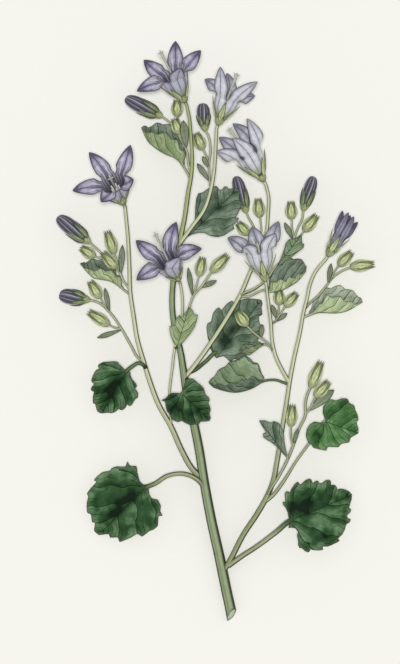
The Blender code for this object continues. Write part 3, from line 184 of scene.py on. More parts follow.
@dataclass
class Patch:
    """Part of a piece's surface: points in millimetres, triangles, and values that finishes read."""

    points: Array
    triangles: Places
    values: dict[str, Array] = field(default_factory=dict)

    def welded(self) -> "Patch":
        """Merge the points that share a place and drop the triangles that this flattens.

        Returns:
            The merged patch.
        """
        keys = np.round(self.points * WELD_STEPS).astype(np.int64)
        _, first, inverse = np.unique(keys, axis=0, return_index=True, return_inverse=True)
        triangles = inverse.reshape(-1)[self.triangles]
        a, b, c = triangles.T
        whole = triangles[(a != b) & (b != c) & (a != c)]
        values = {name: value[first] for name, value in self.values.items()}
        return Patch(self.points[first], whole, values)

    def outward(self) -> "Patch":
        """Turn a closed surface so that its faces look out, by the sign of its volume.

        Returns:
            The same patch.
        """
        a, b, c = (self.points[self.triangles[:, i]] for i in range(3))
        volume = np.einsum("ij,ij->i", a, np.cross(b, c)).sum()
        if volume < 0:
            self.triangles = self.triangles[:, ::-1]
        return self

    def faced(self, ways: Array) -> "Patch":
        """Turn the faces over if, taken together, they look against the given directions."""
        if (corner_normals(self.points, self.triangles) * ways).sum() < 0:
            self.triangles = self.triangles[:, ::-1]
        return self

    def thickened(self, thickness: Array) -> "Patch":
        """Closed sheet: the surface moved half its thickness each way along its direction.

        The two sides meet where the thickness is nought, so the rim is closed by merging. The
        value "side" is +1 on the side the triangles face and -1 on the other.

        Args:
            thickness: Thickness at each point of the patch, nought along its rim.

        Returns:
            The closed sheet.
        """
        self.values["thickness"] = thickness
        middle = self.welded()
        half = (corner_normals(middle.points, middle.triangles)
                * middle.values.pop("thickness")[:, None] / 2)
        count = len(middle.points)
        points = np.vstack([middle.points + half, middle.points - half])
        triangles = np.vstack([middle.triangles, middle.triangles[:, ::-1] + count])
        values = {name: np.concatenate([value, value]) for name, value in middle.values.items()}
        values["side"] = np.concatenate([np.ones(count), -np.ones(count)])
        return Patch(points, triangles, values).welded().outward()

    def closed(self) -> "Patch":
        """Merge the seams of a rounded solid and add the value "flank": 0 on top, 1 at its sides.

        Returns:
            The closed patch.
        """
        solid = self.welded().outward()
        upward = corner_normals(solid.points, solid.triangles)[:, 2]
        solid.values["flank"] = np.clip(1.0 - upward, 0.0, 1.0)
        return solid


def tube(route: Array, radii: Array, sides: int = 14) -> Patch:
    """Round stalk: rings of radius r (1 + d cos(k a)) square to a path, with k ribs and domed ends.

    Args:
        route: Centre line.
        radii: Radius at each point of the centre line.
        sides: Points in a ring.

    Returns:
        Closed patch with the values share (0 to 1) and turn (0 to 1).
    """
    ahead = unit(np.gradient(route, axis=0))
    upright = np.abs(ahead @ UPWARD).mean() > 0.8
    side = unit(np.cross(ahead, np.array([0.0, 1.0, 0.0]) if upright else UPWARD))
    top = np.cross(side, ahead)
    centres, side, top = (np.vstack([rows[:1], rows[:1], rows, rows[-1:], rows[-1:]])
                          for rows in (route, side, top))
    for end, way in ((0, -1), (-1, 1)):
        centres[end] += way * ahead[end] * radii[end] * DOME_RISE
        centres[end - way] += way * ahead[end] * radii[end] * DOME_SHOULDER
    grown = np.concatenate([[0.0], radii[:1] * DOME_RADIUS, radii, radii[-1:] * DOME_RADIUS, [0.0]])
    angles = np.arange(sides) * 2 * np.pi / sides
    swell = 1.0 + RIB_DEPTH * np.cos(STALK_RIBS * angles)
    out = side[:, None] * np.cos(angles)[:, None] + top[:, None] * np.sin(angles)[:, None]
    points = centres[:, None] + out * (grown[:, None] * swell)[:, :, None]
    along = chord_lengths(centres)
    values = {
        "share": np.repeat(along / along[-1], sides),
        "turn": np.tile(angles / (2 * np.pi), len(centres)),
    }
    grid = grid_triangles(len(centres), sides, wrap=True)
    return Patch(points.reshape(-1, 3), grid, values).closed()


def stalk(points: Array, radii: Array, count: int, sides: int = 14) -> Patch:
    """Tube along the smooth curve through some points, its radius running through given values.

    Args:
        points: Points the centre line passes through.
        radii: Radii spread evenly from the root to the end.
        count: Rings along the stalk.
        sides: Points in a ring.

    Returns:
        Closed patch of the stalk.
    """
    route = smooth_line(points, count)
    knots = evenly(len(radii))
    return tube(route, np.interp(evenly(count), knots, radii), sides)


def slender_leaf(line: Array, facing: Array, half_width: float, peak: float = 0.4,
                 fold: float = 0.35, thickness: float = PETAL_THICKNESS, blunt: float = 1.7) -> Patch:
    """Narrow pointed blade, broadest part of the way along and folded a little along its middle.

    Half width at a share s is w (s/p)^0.6 up to the broadest place p and w (1 - ((s-p)/(1-p))^b)
    past it; each side rises by fold times its distance from the middle line.

    Args:
        line: Middle line from root to tip.
        facing: Direction that the blade's face looks in.
        half_width: Half of the greatest width.
        peak: Share of the length at which it is broadest.
        fold: Rise of the sides toward that direction for each millimetre from the middle.
        thickness: Greatest thickness.
        blunt: Power b; the higher, the rounder the tip.

    Returns:
        Closed patch with the values share, middle (mm), rim (mm) and edged (1).
    """
    count, columns = len(line), 9
    s = evenly(count)
    ahead = unit(np.gradient(line, axis=0))
    side = unit(np.cross(facing, ahead))
    out = np.cross(ahead, side)
    widen = np.where(s < peak, (s / peak) ** 0.6,
                     1 - (np.clip(s - peak, 0, 1) / (1 - peak)) ** blunt)
    width = half_width * np.clip(widen, 0.0, 1.0)
    t = np.linspace(-1.0, 1.0, columns)
    offset = width[:, None] * t[None, :]
    lift = np.abs(offset) * fold
    points = line[:, None] + side[:, None] * offset[:, :, None] + out[:, None] * lift[:, :, None]
    solid = thickness * (1 - t[None, :] ** 4) * np.sqrt(np.clip(width / half_width, 0, 1))[:, None]
    values = {
        "share": np.repeat(s, columns),
        "middle": offset.reshape(-1),
        "rim": (width[:, None] * (1 - np.abs(t))).reshape(-1),
        "edged": np.ones(count * columns),
    }
    patch = Patch(points.reshape(-1, 3), grid_triangles(count, columns), values)
    return patch.thickened(solid.reshape(-1))


@dataclass
class Axis:
    """Upright line of a flower or bud: its foot, the way it points and the directions about it."""

    foot: Array
    ahead: Array
    front: Array = field(init=False)
    right: Array = field(init=False)

    def __post_init__(self) -> None:
        """Work out the two directions square to the axis, the front one nearest to upward."""
        self.foot = np.asarray(self.foot, float)
        self.ahead = unit(np.asarray(self.ahead, float))
        self.front = unit(UPWARD - self.ahead * self.ahead[2])
        self.right = np.cross(self.ahead, self.front)

    def outward(self, angles: Array) -> Array:
        """Directions away from the axis at the angles from its front."""
        angles = np.asarray(angles, float)[..., None]
        return self.front * np.cos(angles) + self.right * np.sin(angles)

    def place(self, heights: Array, radii: Array, angles: Array) -> Array:
        """Places about the axis.

        Args:
            heights: Distances along the axis.
            radii: Distances from it.
            angles: Angles about it from its front.

        Returns:
            The points, in the shape that numpy gives the three together.
        """
        heights = np.asarray(heights, float)[..., None]
        radii = np.asarray(radii, float)[..., None]
        return self.foot + self.ahead * heights + self.outward(angles) * radii

    def spindle(self, heights: Array, radii: Array, ribs: Array, columns: int = 40,
                twist: float = 0.0) -> Patch:
        """Solid of revolution with five ribs: radius r (1 + d cos(5 a)), closed at both ends.

        Args:
            heights: Height of each ring.
            radii: Radius of each ring.
            ribs: Depth of the ribs at each ring, as a share of its radius.
            columns: Points in a ring.
            twist: Turn of the ribs from the first ring to the last, in radians.

        Returns:
            Closed patch with the values share and turn.
        """
        heights = np.concatenate([heights[:1], heights, heights[-1:]])
        radii = np.concatenate([[0.0], radii, [0.0]])
        ribs = np.concatenate([ribs[:1], ribs, ribs[-1:]])
        angles = np.arange(columns) * 2 * np.pi / columns
        share = (heights - heights[0]) / (heights[-1] - heights[0])
        swell = radii[:, None] * (1 + ribs[:, None] * np.cos(LOBES * angles)[None, :])
        turned = angles[None, :] + twist * share[:, None]
        points = self.place(heights[:, None], swell, turned)
        values = {
            "share": np.repeat(share, columns),
            "turn": np.tile(angles / (2 * np.pi), len(heights)),
        }
        grid = grid_triangles(len(heights), columns, wrap=True)
        return Patch(points.reshape(-1, 3), grid, values).closed()

    def ring_of_leaves(self, turn: float, route: Line, count: int, *shape: float) -> list[Patch]:
        """Five slender leaves about the axis, all along the same heights and radii.

        Args:
            turn: Angle of the first leaf from the front, in degrees.
            route: Height and radius of each point of a leaf's middle line.
            count: Rows of points along a leaf.
            shape: The leaf's half width, peak and so on, as slender_leaf takes them.

        Returns:
            The leaves.
        """
        heights, radii = np.array(route, float).T
        return [slender_leaf(smooth_line(self.place(heights, radii, angle), count),
                             self.outward(angle), *shape)
                for angle in np.radians(turn + LOBE_TURN * np.arange(LOBES))]


# Finishes

Colour = tuple[float, float, float]

# Specular level of every finish, and how strongly relief bends its light
GLOSS = 0.08
BUMP_STRENGTH = 0.8


def linear(colour: Colour) -> tuple[float, ...]:
    """Turn a screen colour into one that a socket takes.

    Args:
        colour: Screen colour, each part from 0 to 255.

    Returns:
        Linear colour at full strength.
    """
    screen = np.array(colour) / 255.0
    light = np.where(screen > 0.04045, ((screen + 0.055) / 1.055) ** 2.4, screen / 12.92)
    return (*map(float, light), 1.0)


def math_operator(operation: str, swapped: bool = False) -> Callable[["Value", object], "Value"]:
    """Operator of a value: one Math node with both operands, swapped for the reflected one.

    Args:
        operation: The node's operation.
        swapped: Whether the other operand comes first.

    Returns:
        The operator's method.
    """
    def joined(value: "Value", other: object) -> "Value":
        """Result of the operation."""
        return value.maths(operation, *((other, value) if swapped else (value, other)))
    return joined


class Value:
    """A number socket that can be added, taken away, multiplied and divided like a number."""

    def __init__(self, bench: "Bench", socket: bpy.types.NodeSocket) -> None:
        """Keep the bench that makes the nodes and the socket that carries the number."""
        self.bench = bench
        self.socket = socket

    def maths(self, operation: str, *operands: object) -> "Value":
        """Result of one Math node.

        Args:
            operation: The node's operation.
            operands: Its inputs in order, values or numbers.

        Returns:
            The node's output.
        """
        node = self.bench.node("ShaderNodeMath", {"operation": operation}, dict(enumerate(operands)))
        return Value(self.bench, node.outputs[0])

    __add__, __radd__ = math_operator("ADD"), math_operator("ADD", True)
    __sub__, __rsub__ = math_operator("SUBTRACT"), math_operator("SUBTRACT", True)
    __mul__, __rmul__ = math_operator("MULTIPLY"), math_operator("MULTIPLY", True)
    __truediv__, __rtruediv__ = math_operator("DIVIDE"), math_operator("DIVIDE", True)

    def __abs__(self) -> "Value":
        """Distance from nought."""
        return self.maths("ABSOLUTE", self)

    def fraction(self) -> "Value":
        """What is left past the whole number below."""
        return self.maths("FRACT", self)

    def within(self) -> "Value":
        """Held between 0 and 1."""
        return self.maths("MINIMUM", self.maths("MAXIMUM", self, 0.0), 1.0)

    def step(self, low: float, high: float) -> "Value":
        """Smooth step from 0 at the low value to 1 at the high one."""
        node = self.bench.node("ShaderNodeMapRange", {"interpolation_type": "SMOOTHSTEP"},
                               {0: self, 1: low, 2: high, 3: 0.0, 4: 1.0})
        return Value(self.bench, node.outputs[0])

    def comb(self, times: float = 1.0, shift: float = 0.0) -> "Value":
        """Distance from the middle of its span, in spans: 0 there and 0.5 at both ends."""
        return abs((self * times + shift).fraction() - 0.5)

    def band(self, width: float, soft: float = 0.45) -> "Value":
        """1 where this distance is nought, falling to 0 at the width."""
        return 1.0 - self.step(width * soft, width)


class Bench:
    """Node tree of one material, with one method that makes any node."""

    def __init__(self, name: str) -> None:
        """Start an empty tree for a new material.

        Args:
            name: The material's name.
        """
        self.material = bpy.data.materials.new(name)
        self.material.use_nodes = True
        self.tree = self.material.node_tree
        self.tree.nodes.clear()

    def node(self, kind: str, settings: dict[str, object] | None = None,
             inputs: dict[object, object] | None = None) -> bpy.types.Node:
        """Make a node, give it its settings first and then its inputs.

        Args:
            kind: Node type.
            settings: Properties of the node; "stops" holds a ramp's (place, colour) pairs.
            inputs: Values, sockets or numbers by socket name or number.

        Returns:
            The node.
        """
        made = self.tree.nodes.new(kind)
        for key, value in (settings or {}).items():
            if key == "stops":
                ramp = made.color_ramp
                while len(ramp.elements) < len(value):
                    ramp.elements.new(0.5)
                for element, (place, colour) in zip(ramp.elements, value):
                    element.position = place
                    element.color = linear(colour)
            else:
                setattr(made, key, value)
        for key, value in (inputs or {}).items():
            socket = made.inputs[key]
            source = value.socket if isinstance(value, Value) else value
            if isinstance(source, bpy.types.NodeSocket):
                self.tree.links.new(source, socket)
            elif isinstance(source, tuple) and len(source) == 3 and socket.type == "RGBA":
                socket.default_value = linear(source)
            else:
                socket.default_value = source
        return made

    def value(self, name: str) -> Value:
        """A value that the mesh carries at its points."""
        node = self.node("ShaderNodeAttribute", {"attribute_name": name})
        return Value(self, node.outputs["Fac"])

    def place(self, stretch: Point = (1.0, 1.0, 1.0)) -> bpy.types.NodeSocket:
        """Object coordinates in millimetres, stretched along each axis.

        Args:
            stretch: Factors along X, Y and Z.

        Returns:
            The coordinates.
        """
        where = self.node("ShaderNodeTexCoord").outputs["Object"]
        scaled = tuple(part / MM for part in stretch)
        mapping = self.node("ShaderNodeMapping", None, {"Vector": where, "Scale": scaled})
        return mapping.outputs[0]

    def noise(self, size: float, detail: float = 3.0, stretch: Point = (1.0, 1.0, 1.0)) -> Value:
        """Cloudy noise from 0 to 1 whose patches are about the given size in millimetres."""
        node = self.node("ShaderNodeTexNoise", None,
                         {"Vector": self.place(stretch), "Scale": 1.0 / size, "Detail": detail})
        return Value(self, node.outputs[0])

    def ramp(self, factor: Value, *stops: tuple[float, Colour]) -> bpy.types.NodeSocket:
        """Colour read off a ramp at the factor."""
        return self.node("ShaderNodeValToRGB", {"stops": stops}, {0: factor}).outputs[0]

    def layered(self, base: object, *coats: tuple[object, object]) -> bpy.types.NodeSocket:
        """Colours laid one over another.

        Args:
            base: Lowest colour.
            coats: Share and colour of each coat above it, lowest first.

        Returns:
            The mixed colour.
        """
        for share, colour in coats:
            node = self.node("ShaderNodeMix", {"data_type": "RGBA"}, {0: share, 6: base, 7: colour})
            base = node.outputs[2]
        return base

    def finish(self, colour: object, roughness: object, relief: Value | None = None,
               depth: float = 0.1, sheen: float = 0.0, glow: float = 0.0) -> bpy.types.Material:
        """Close the tree with a shader.

        Args:
            colour: Base colour.
            roughness: Roughness, a value or number.
            relief: Height that drives the bump.
            depth: Height of the bump in millimetres.
            sheen: Weight of a soft sheen.
            glow: Share of light that passes under the skin.

        Returns:
            The material.
        """
        inputs: dict[object, object] = {"Base Color": colour, "Roughness": roughness,
                                        "Sheen Weight": sheen, "Specular IOR Level": GLOSS}
        if glow:
            inputs |= {"Subsurface Weight": glow, "Subsurface Scale": 0.6 * MM}
        if relief is not None:
            bump = self.node("ShaderNodeBump", None,
                             {"Strength": BUMP_STRENGTH, "Distance": depth * MM, "Height": relief})
            inputs["Normal"] = bump.outputs[0]
        shader = self.node("ShaderNodeBsdfPrincipled", None, inputs)
        self.node("ShaderNodeOutputMaterial", None, {0: shader.outputs[0]})
        return self.material


@dataclass(frozen=True)
class LeafSkin:
    """Colours of one side of a leaf: a ramp from dark through middle to light that carries painted shade and
    painted light, then its vein, midrib and rim colours.
    """

    dark: Colour
    middle: Colour
    light: Colour
    vein: Colour
    midrib: Colour
    rim: Colour


@dataclass(frozen=True)
class LeafFinish:
    """Leaf with a midrib, side veins, fine cross veins, a thin dark margin, and painted shade and painted
    light in its tone.
    """

    name: str
    upper: LeafSkin
    lower: LeafSkin
    slot: str = "blue_leaf"

    def skin(self, bench: Bench, colours: LeafSkin, tone: Value, veins: Value,
             fine: Value) -> bpy.types.NodeSocket:
        """Colour of one side: the tone's ramp, then veins, fine veins, midrib and margin.

        Args:
            bench: The material's tree.
            colours: Colours of this side.
            tone: Lightness from 0 to 1, carrying painted shade and painted light.
            veins: Mask of the side veins.
            fine: Mask of the fine veins.

        Returns:
            The side's colour.
        """
        across, rim = bench.value("across"), bench.value("rim")
        near = 1.0 - bench.value("phase").step(0.3, 2.6)
        return bench.layered(
            bench.ramp(tone, (0.0, colours.dark), (0.5, colours.middle), (1.0, colours.light)),
            (fine * 0.35, colours.vein), (veins * 0.9, colours.vein),
            (abs(across - 0.4).band(0.7, 0.0) * near * 0.75, colours.midrib),
            (abs(across).band(0.26) * 0.85, colours.vein),
            (rim.band(1.3, 0.0) * 0.5, colours.rim), (rim.band(0.3) * 0.7, colours.vein))

    def make(self) -> bpy.types.Material:
        """Make the leaf's material, its two sides told apart by the sheet's own value.

        Returns:
            The material.
        """
        bench = Bench(self.name)
        gap, rim = bench.value("gap"), bench.value("rim")
        phase = bench.value("phase") + (bench.noise(3.0) - 0.5) * 0.3
        line = phase.comb(1.0, 0.5) * gap
        fork = phase.comb() * gap
        room = gap.step(0.5, 1.8)
        twig = phase.comb(2.0) * gap / 2.0
        veins = (line.band(0.26) + fork.band(0.2) * (1.0 - rim.step(3.0, 6.5)) * 0.8
                 + twig.band(0.16) * (1.0 - rim.step(1.5, 3.5)) * 0.5).within() * room
        hatch = phase.comb(5.0, 0.5) * gap / 5.0
        cells = bench.node("ShaderNodeTexVoronoi", {"feature": "DISTANCE_TO_EDGE"},
                           {"Vector": bench.place(), "Scale": 0.8})
        net = Value(bench, cells.outputs[0]).band(0.09)
        fine = (hatch.band(0.13) * 0.6 * room + net * 0.5).within()
        cloud = bench.noise(4.2, 1.5)
        # Painted shade on one side of each side vein, fading to light toward the next vein
        shade = phase.fraction().step(0.3, 1.0) * room
        # Painted light toward the margin
        pale = (1.0 - rim.step(0.0, 5.0)) * 0.25
        # Lightness: a base, the blade's painted shade and painted light spots, cloudy noise, the painted
        # shade beside the veins and the painted light toward the margin
        tone = (0.56 + bench.value("tone") * 0.46 + (cloud - 0.5) * 1.15 - shade * 0.28 + pale).within()
        lower, upper = (self.skin(bench, side, tone, veins, fine) for side in (self.lower, self.upper))
        colour = bench.layered(lower, (bench.value("side").step(-0.1, 0.1), upper))
        grain = bench.noise(0.35)
        relief = (1.0 - veins) * 0.6 + (1.0 - net) * 0.15 + grain * 0.25
        return bench.finish(colour, 0.5 + grain * 0.2, relief, 0.16, sheen=0.05)


@dataclass(frozen=True)
class PetalFinish:
    """Pale violet lobe with a dark midline, streaks, painted shade toward its margin and beside its midline,
    and painted shade in its throat.
    """

    name: str
    light: Colour = (208, 205, 219)
    middle: Colour = (162, 158, 179)
    dusk: Colour = (92, 88, 108)
    line: Colour = (72, 62, 112)
    # Colour of the painted shade in the throat and of the lines that radiate from it
    throat: Colour = (44, 40, 54)
    ink: Colour = (56, 52, 68)
    outer: Colour = (196, 198, 206)
    base: Colour = (160, 172, 130)
    # How strong the painted shade in the throat is
    throat_shade_strength: float = 1.0

    def make(self) -> bpy.types.Material:
        """Make the corolla's material, darker inside and greenish where the bell begins.

        Returns:
            The material.
        """
        bench = Bench(self.name)
        middle, rim, reach = bench.value("middle"), bench.value("rim"), bench.value("reach")
        across = bench.value("across")
        cloud = bench.noise(1.6)
        lobe = reach.step(-0.35, 0.2)
        tip = reach.step(0.45, 1.0)
        midline = abs(middle).band(0.3) * (1.0 - reach.step(0.8, 1.0))
        # Painted shade beside the midline
        midline_shade = abs(middle).band(1.5, 0.0)
        streak = across.comb(4.5, 0.5).band(0.2) * lobe
        # Painted shade in a band along the lobe's margin
        margin = rim.band(1.5, 0.0) * lobe
        edge = rim.band(0.32) * lobe
        # Inside: painted shade toward the margin and beside the midline, darker tips and cloudy noise
        tone = (margin * 0.7 + tip * 0.5 + midline_shade * 0.4 + (cloud - 0.36) * 0.9).within()
        # Painted shade deep in the throat, and painted shade lines that radiate from it
        deep = (1.0 - reach.step(-0.7, 0.3)) * self.throat_shade_strength
        rays = across.comb(2.5).band(0.22) * (1.0 - reach.step(0.1, 0.6))
        inner = bench.layered(
            bench.ramp(tone, (0.0, self.light), (0.45, self.middle), (1.0, self.dusk)),
            (streak * 0.22, self.dusk), (midline * 0.8, self.line),
            ((deep + rays * 0.8).within() * 0.88, self.throat))
        # Outside: painted shade toward the margin, beside the midline and toward the lobe's sides, slightly
        # darker tips and cloudy noise
        outer_tone = (margin * 0.5 + tip * 0.1 + midline_shade * 0.12 + abs(across).step(0.5, 1.0) * 0.35
                      + (cloud - 0.3) * 0.6).within()
        seam = abs(across).step(0.72, 1.0) * (1.0 - reach.step(-0.05, 0.1))
        outer = bench.layered(
            bench.ramp(outer_tone, (0.0, self.outer), (0.5, self.middle), (1.0, self.dusk)),
            (streak * 0.3, self.dusk), (midline * 0.6, self.line), (seam * 0.85, self.dusk),
            ((1.0 - reach.step(-1.0, -0.35)) * 0.8, self.base))
        colour = bench.layered(inner, (bench.value("side").step(-0.1, 0.1), outer),
                               (edge * 0.85, self.ink))
        relief = streak * -0.3 + midline * -0.5 + bench.noise(0.4) * 0.3
        return bench.finish(colour, 0.62, relief, 0.1, sheen=0.15, glow=0.08)


@dataclass(frozen=True)
class StalkFinish:
    """Ribbed stalk in painted light along its top, with painted shade in its grooves and down its flanks."""

    name: str
    light: Colour
    middle: Colour
    dark: Colour
    low_light: Colour
    low_middle: Colour
    low_end: float = -60.0
    high_end: float = 45.0
    pith: Colour = (214, 220, 196)
    leaf: Colour = (58, 88, 50)
    join: float = 2.0

    def make(self) -> bpy.types.Material:
        """Make the material, whose greens change along the plant and, at the share join, to a leaf's.

        Returns:
            The material.
        """
        bench = Bench(self.name)
        flank, turn = bench.value("flank"), bench.value("turn")
        where = bench.node("ShaderNodeSeparateXYZ", None, {0: bench.place()}).outputs[1]
        climb = Value(bench, where).step(self.low_end, self.high_end)
        fibres = bench.noise(0.5, 2.0, (1.0, 0.08, 1.0))
        cloud = bench.noise(5.0)
        light = bench.layered(self.low_light, (climb, self.light))
        middle = bench.layered(self.low_middle, (climb, self.middle))
        # Painted shade in the grooves between the ribs
        groove = turn.comb(STALK_RIBS).band(0.2)
        # Painted shade down the flanks, mixed with cloudy and fibrous noise; the top stays in painted light
        shade = (flank.step(0.05, 0.6) * 0.8 + (cloud - 0.5) * 0.8 + (fibres - 0.5) * 0.5).within()
        joined = bench.value("share").step(self.join - 0.22, self.join)
        # Over the greens: the leaf's green at the join, painted shade in the grooves and at the flanks, and
        # the cut pith
        colour = bench.layered(
            light, (shade, middle), (joined * (1.0 - shade * 0.3), self.leaf), (groove * 0.3, self.dark),
            (flank.step(0.08, 0.5) * 0.92, self.dark), (bench.value("pith"), self.pith))
        relief = fibres * 0.5 - groove * 0.5
        return bench.finish(colour, 0.45 + fibres * 0.2, relief, 0.12)


@dataclass(frozen=True)
class SepalFinish:
    """Narrow green blade with a darker middle line, painted shade down its flanks, dark edges and a browned
    tip.
    """

    name: str
    light: Colour = (234, 239, 194)
    middle: Colour = (172, 183, 128)
    dark: Colour = (58, 70, 34)
    tip: Colour = (74, 66, 62)

    def make(self) -> bpy.types.Material:
        """Make the material from the blade's share, middle and rim values.

        Returns:
            The material.
        """
        bench = Bench(self.name)
        share, rim = bench.value("share"), bench.value("rim")
        cloud, fibres = bench.noise(1.3), bench.noise(0.3)
        tone = ((cloud - 0.5) * 1.1 + 0.35 + share * 0.25).within()
        edged = bench.value("edged")
        # Over the ramp: a darker middle line, painted shade down the flanks, dark edges and a browned tip
        colour = bench.layered(
            bench.ramp(tone, (0.0, self.light), (0.7, self.middle), (1.0, self.dark)),
            (abs(bench.value("middle")).band(0.2) * 0.4, self.dark),
            (bench.value("flank").step(0.3, 0.9) * 0.7, self.dark),
            (rim.band(0.36) * edged * 0.85, self.dark), (share.step(0.86, 1.0) * edged * 0.7, self.tip))
        return bench.finish(colour, 0.5 + fibres * 0.2, fibres, 0.08)


@dataclass(frozen=True)
class VioletFinish:
    """Folded corolla of a bud: dark violet painted shade in the folds between pale pleat ridges, and down
    its flanks.
    """

    name: str
    dark: Colour = (56, 54, 66)
    middle: Colour = (98, 95, 114)
    pale: Colour = (186, 186, 192)
    base: Colour = (120, 134, 100)

    def make(self) -> bpy.types.Material:
        """Make the material, whose pale lines run along the five pleats.

        Returns:
            The material.
        """
        bench = Bench(self.name)
        turn, share = bench.value("turn"), bench.value("share")
        ridge, fine = turn.comb(LOBES, 0.5), turn.comb(LOBES * 4, 0.5).band(0.22)
        cloud = bench.noise(1.2)
        # Painted shade in the folds between the pleat crests and down the flanks, with pale lines on the
        # pleats and a green base
        colour = bench.layered(
            self.middle, ((ridge * 1.6 + (cloud - 0.5) * 0.6).within(), self.dark),
            (fine * 0.3, self.dark), (ridge.band(0.12) * 0.85, self.pale),
            (turn.comb(LOBES).band(0.09) * 0.5, self.pale),
            ((1.0 - share.step(0.0, 0.3)) * 0.7, self.base),
            (bench.value("flank").step(0.6, 1.0) * 0.5, self.dark))
        return bench.finish(colour, 0.55, fine * -0.4 + cloud * 0.3, 0.1, sheen=0.1)


@dataclass(frozen=True)
class PlainFinish:
    """Small smooth part of one colour, clouded, with painted shade down its flanks."""

    name: str
    light: Colour
    dark: Colour

    def make(self) -> bpy.types.Material:
        """Make the material of a style, an anther or the table.

        Returns:
            The material.
        """
        bench = Bench(self.name)
        cloud = bench.noise(0.8)
        # Painted shade down the flanks, with cloudy noise
        shade = (bench.value("flank").step(0.3, 1.0) * 0.8 + (cloud - 0.5) * 0.5).within()
        return bench.finish(bench.layered(self.light, (shade, self.dark)), 0.6, cloud, 0.05)


DEEP = LeafSkin((10, 30, 12), (52, 88, 50), (122, 154, 114), (14, 34, 16), (112, 146, 100), (96, 100, 84))
HEART = LeafSkin((20, 54, 20), (78, 121, 68), (126, 165, 114), (18, 50, 18), (136, 170, 118), (104, 108, 88))
BLUE = LeafSkin((30, 48, 32), (94, 114, 92), (150, 166, 146), (34, 50, 34), (142, 158, 132), (100, 108, 98))
PALE = LeafSkin((92, 110, 66), (152, 168, 124), (188, 200, 160), (78, 96, 54), (190, 202, 160),
                (110, 120, 86))
GREY = LeafSkin((70, 86, 70), (122, 136, 118), (164, 176, 158), (50, 64, 50), (164, 176, 154), (96, 106, 92))
ASH = LeafSkin((106, 120, 98), (170, 180, 158), (206, 214, 196), (68, 82, 60), (206, 214, 194),
               (110, 120, 100))
FRESH = LeafSkin((120, 138, 92), (190, 205, 160), (220, 231, 190), (86, 106, 60), (218, 229, 188),
                 (116, 130, 92))
MOSS = LeafSkin((78, 98, 66), (130, 150, 116), (162, 180, 148), (54, 74, 44), (164, 182, 146), (88, 102, 74))


class Finish(Enum):
    """Every finish of the sprig, by the part that wears it."""

    DEEP_LEAF = LeafFinish("deep_leaf_skin", DEEP, PALE, "deep_leaf")
    HEART_LEAF = LeafFinish("heart_leaf_skin", HEART, PALE, "deep_leaf")
    BLUE_LEAF = LeafFinish("blue_leaf_skin", BLUE, PALE)
    PALE_LEAF = LeafFinish("pale_leaf_skin", PALE, PALE, "pale_leaf")
    FOLDED_LEAF = LeafFinish("folded_leaf_skin", GREY, PALE)
    MOSS_LEAF = LeafFinish("moss_leaf_skin", MOSS, BLUE)
    FRESH_LEAF = LeafFinish("fresh_leaf_skin", ASH, FRESH)
    MIXED_LEAF = LeafFinish("mixed_leaf_skin", GREY, FRESH)
    STAR_PETAL = PetalFinish("star_petal_skin")
    BELL_PETAL = PetalFinish("bell_petal_skin", (214, 215, 222), (172, 173, 183), (130, 129, 142),
                             (92, 86, 120), outer=(228, 229, 234), throat_shade_strength=0.6)
    DUSK_PETAL = PetalFinish("dusk_petal_skin", (176, 173, 196), (140, 139, 158), line=(84, 82, 104),
                             outer=(184, 184, 200))
    STEM = StalkFinish("stem_skin", (176, 185, 130), (122, 132, 76), (50, 58, 28), (152, 166, 130),
                       (90, 104, 74), low_end=8.0, high_end=34.0)
    BRANCH = StalkFinish("branch_skin", (212, 216, 180), (166, 172, 128), (60, 66, 38), (154, 164, 124),
                         (104, 114, 76), low_end=-80.0, high_end=-8.0)
    STALK = StalkFinish("stalk_skin", (192, 197, 160), (142, 149, 110), (68, 74, 46), (176, 181, 146),
                        (122, 128, 98))
    LEAF_STALK = StalkFinish("leaf_stalk_skin", (184, 190, 150), (130, 139, 98), (50, 58, 34),
                             (170, 176, 138), (114, 122, 88), join=0.6)
    DEEP_STALK = StalkFinish("deep_stalk_skin", (104, 126, 84), (64, 88, 50), (24, 40, 20),
                             (104, 126, 84), (64, 88, 50))
    SEPAL = SepalFinish("sepal_skin")
    DIM_SEPAL = SepalFinish("dim_sepal_skin", (172, 184, 142), (122, 136, 98), (56, 66, 42), (66, 62, 60))
    BRACT = SepalFinish("bract_skin", (156, 166, 138), (112, 124, 98), (54, 64, 44), (60, 66, 52))
    VIOLET = VioletFinish("violet_bud_skin")
    STYLE = PlainFinish("style_skin", (190, 193, 174), (72, 76, 60))
    ANTHER = PlainFinish("anther_skin", (232, 230, 224), (120, 114, 120))
    TABLE = PlainFinish("table_skin", (243, 242, 236), (241, 240, 234))

    def material(self) -> bpy.types.Material:
        """The finish's material, made the first time it is asked for."""
        known = bpy.data.materials.get(self.value.name)
        return known or self.value.make()


Parts = list[tuple[Patch, Finish]]


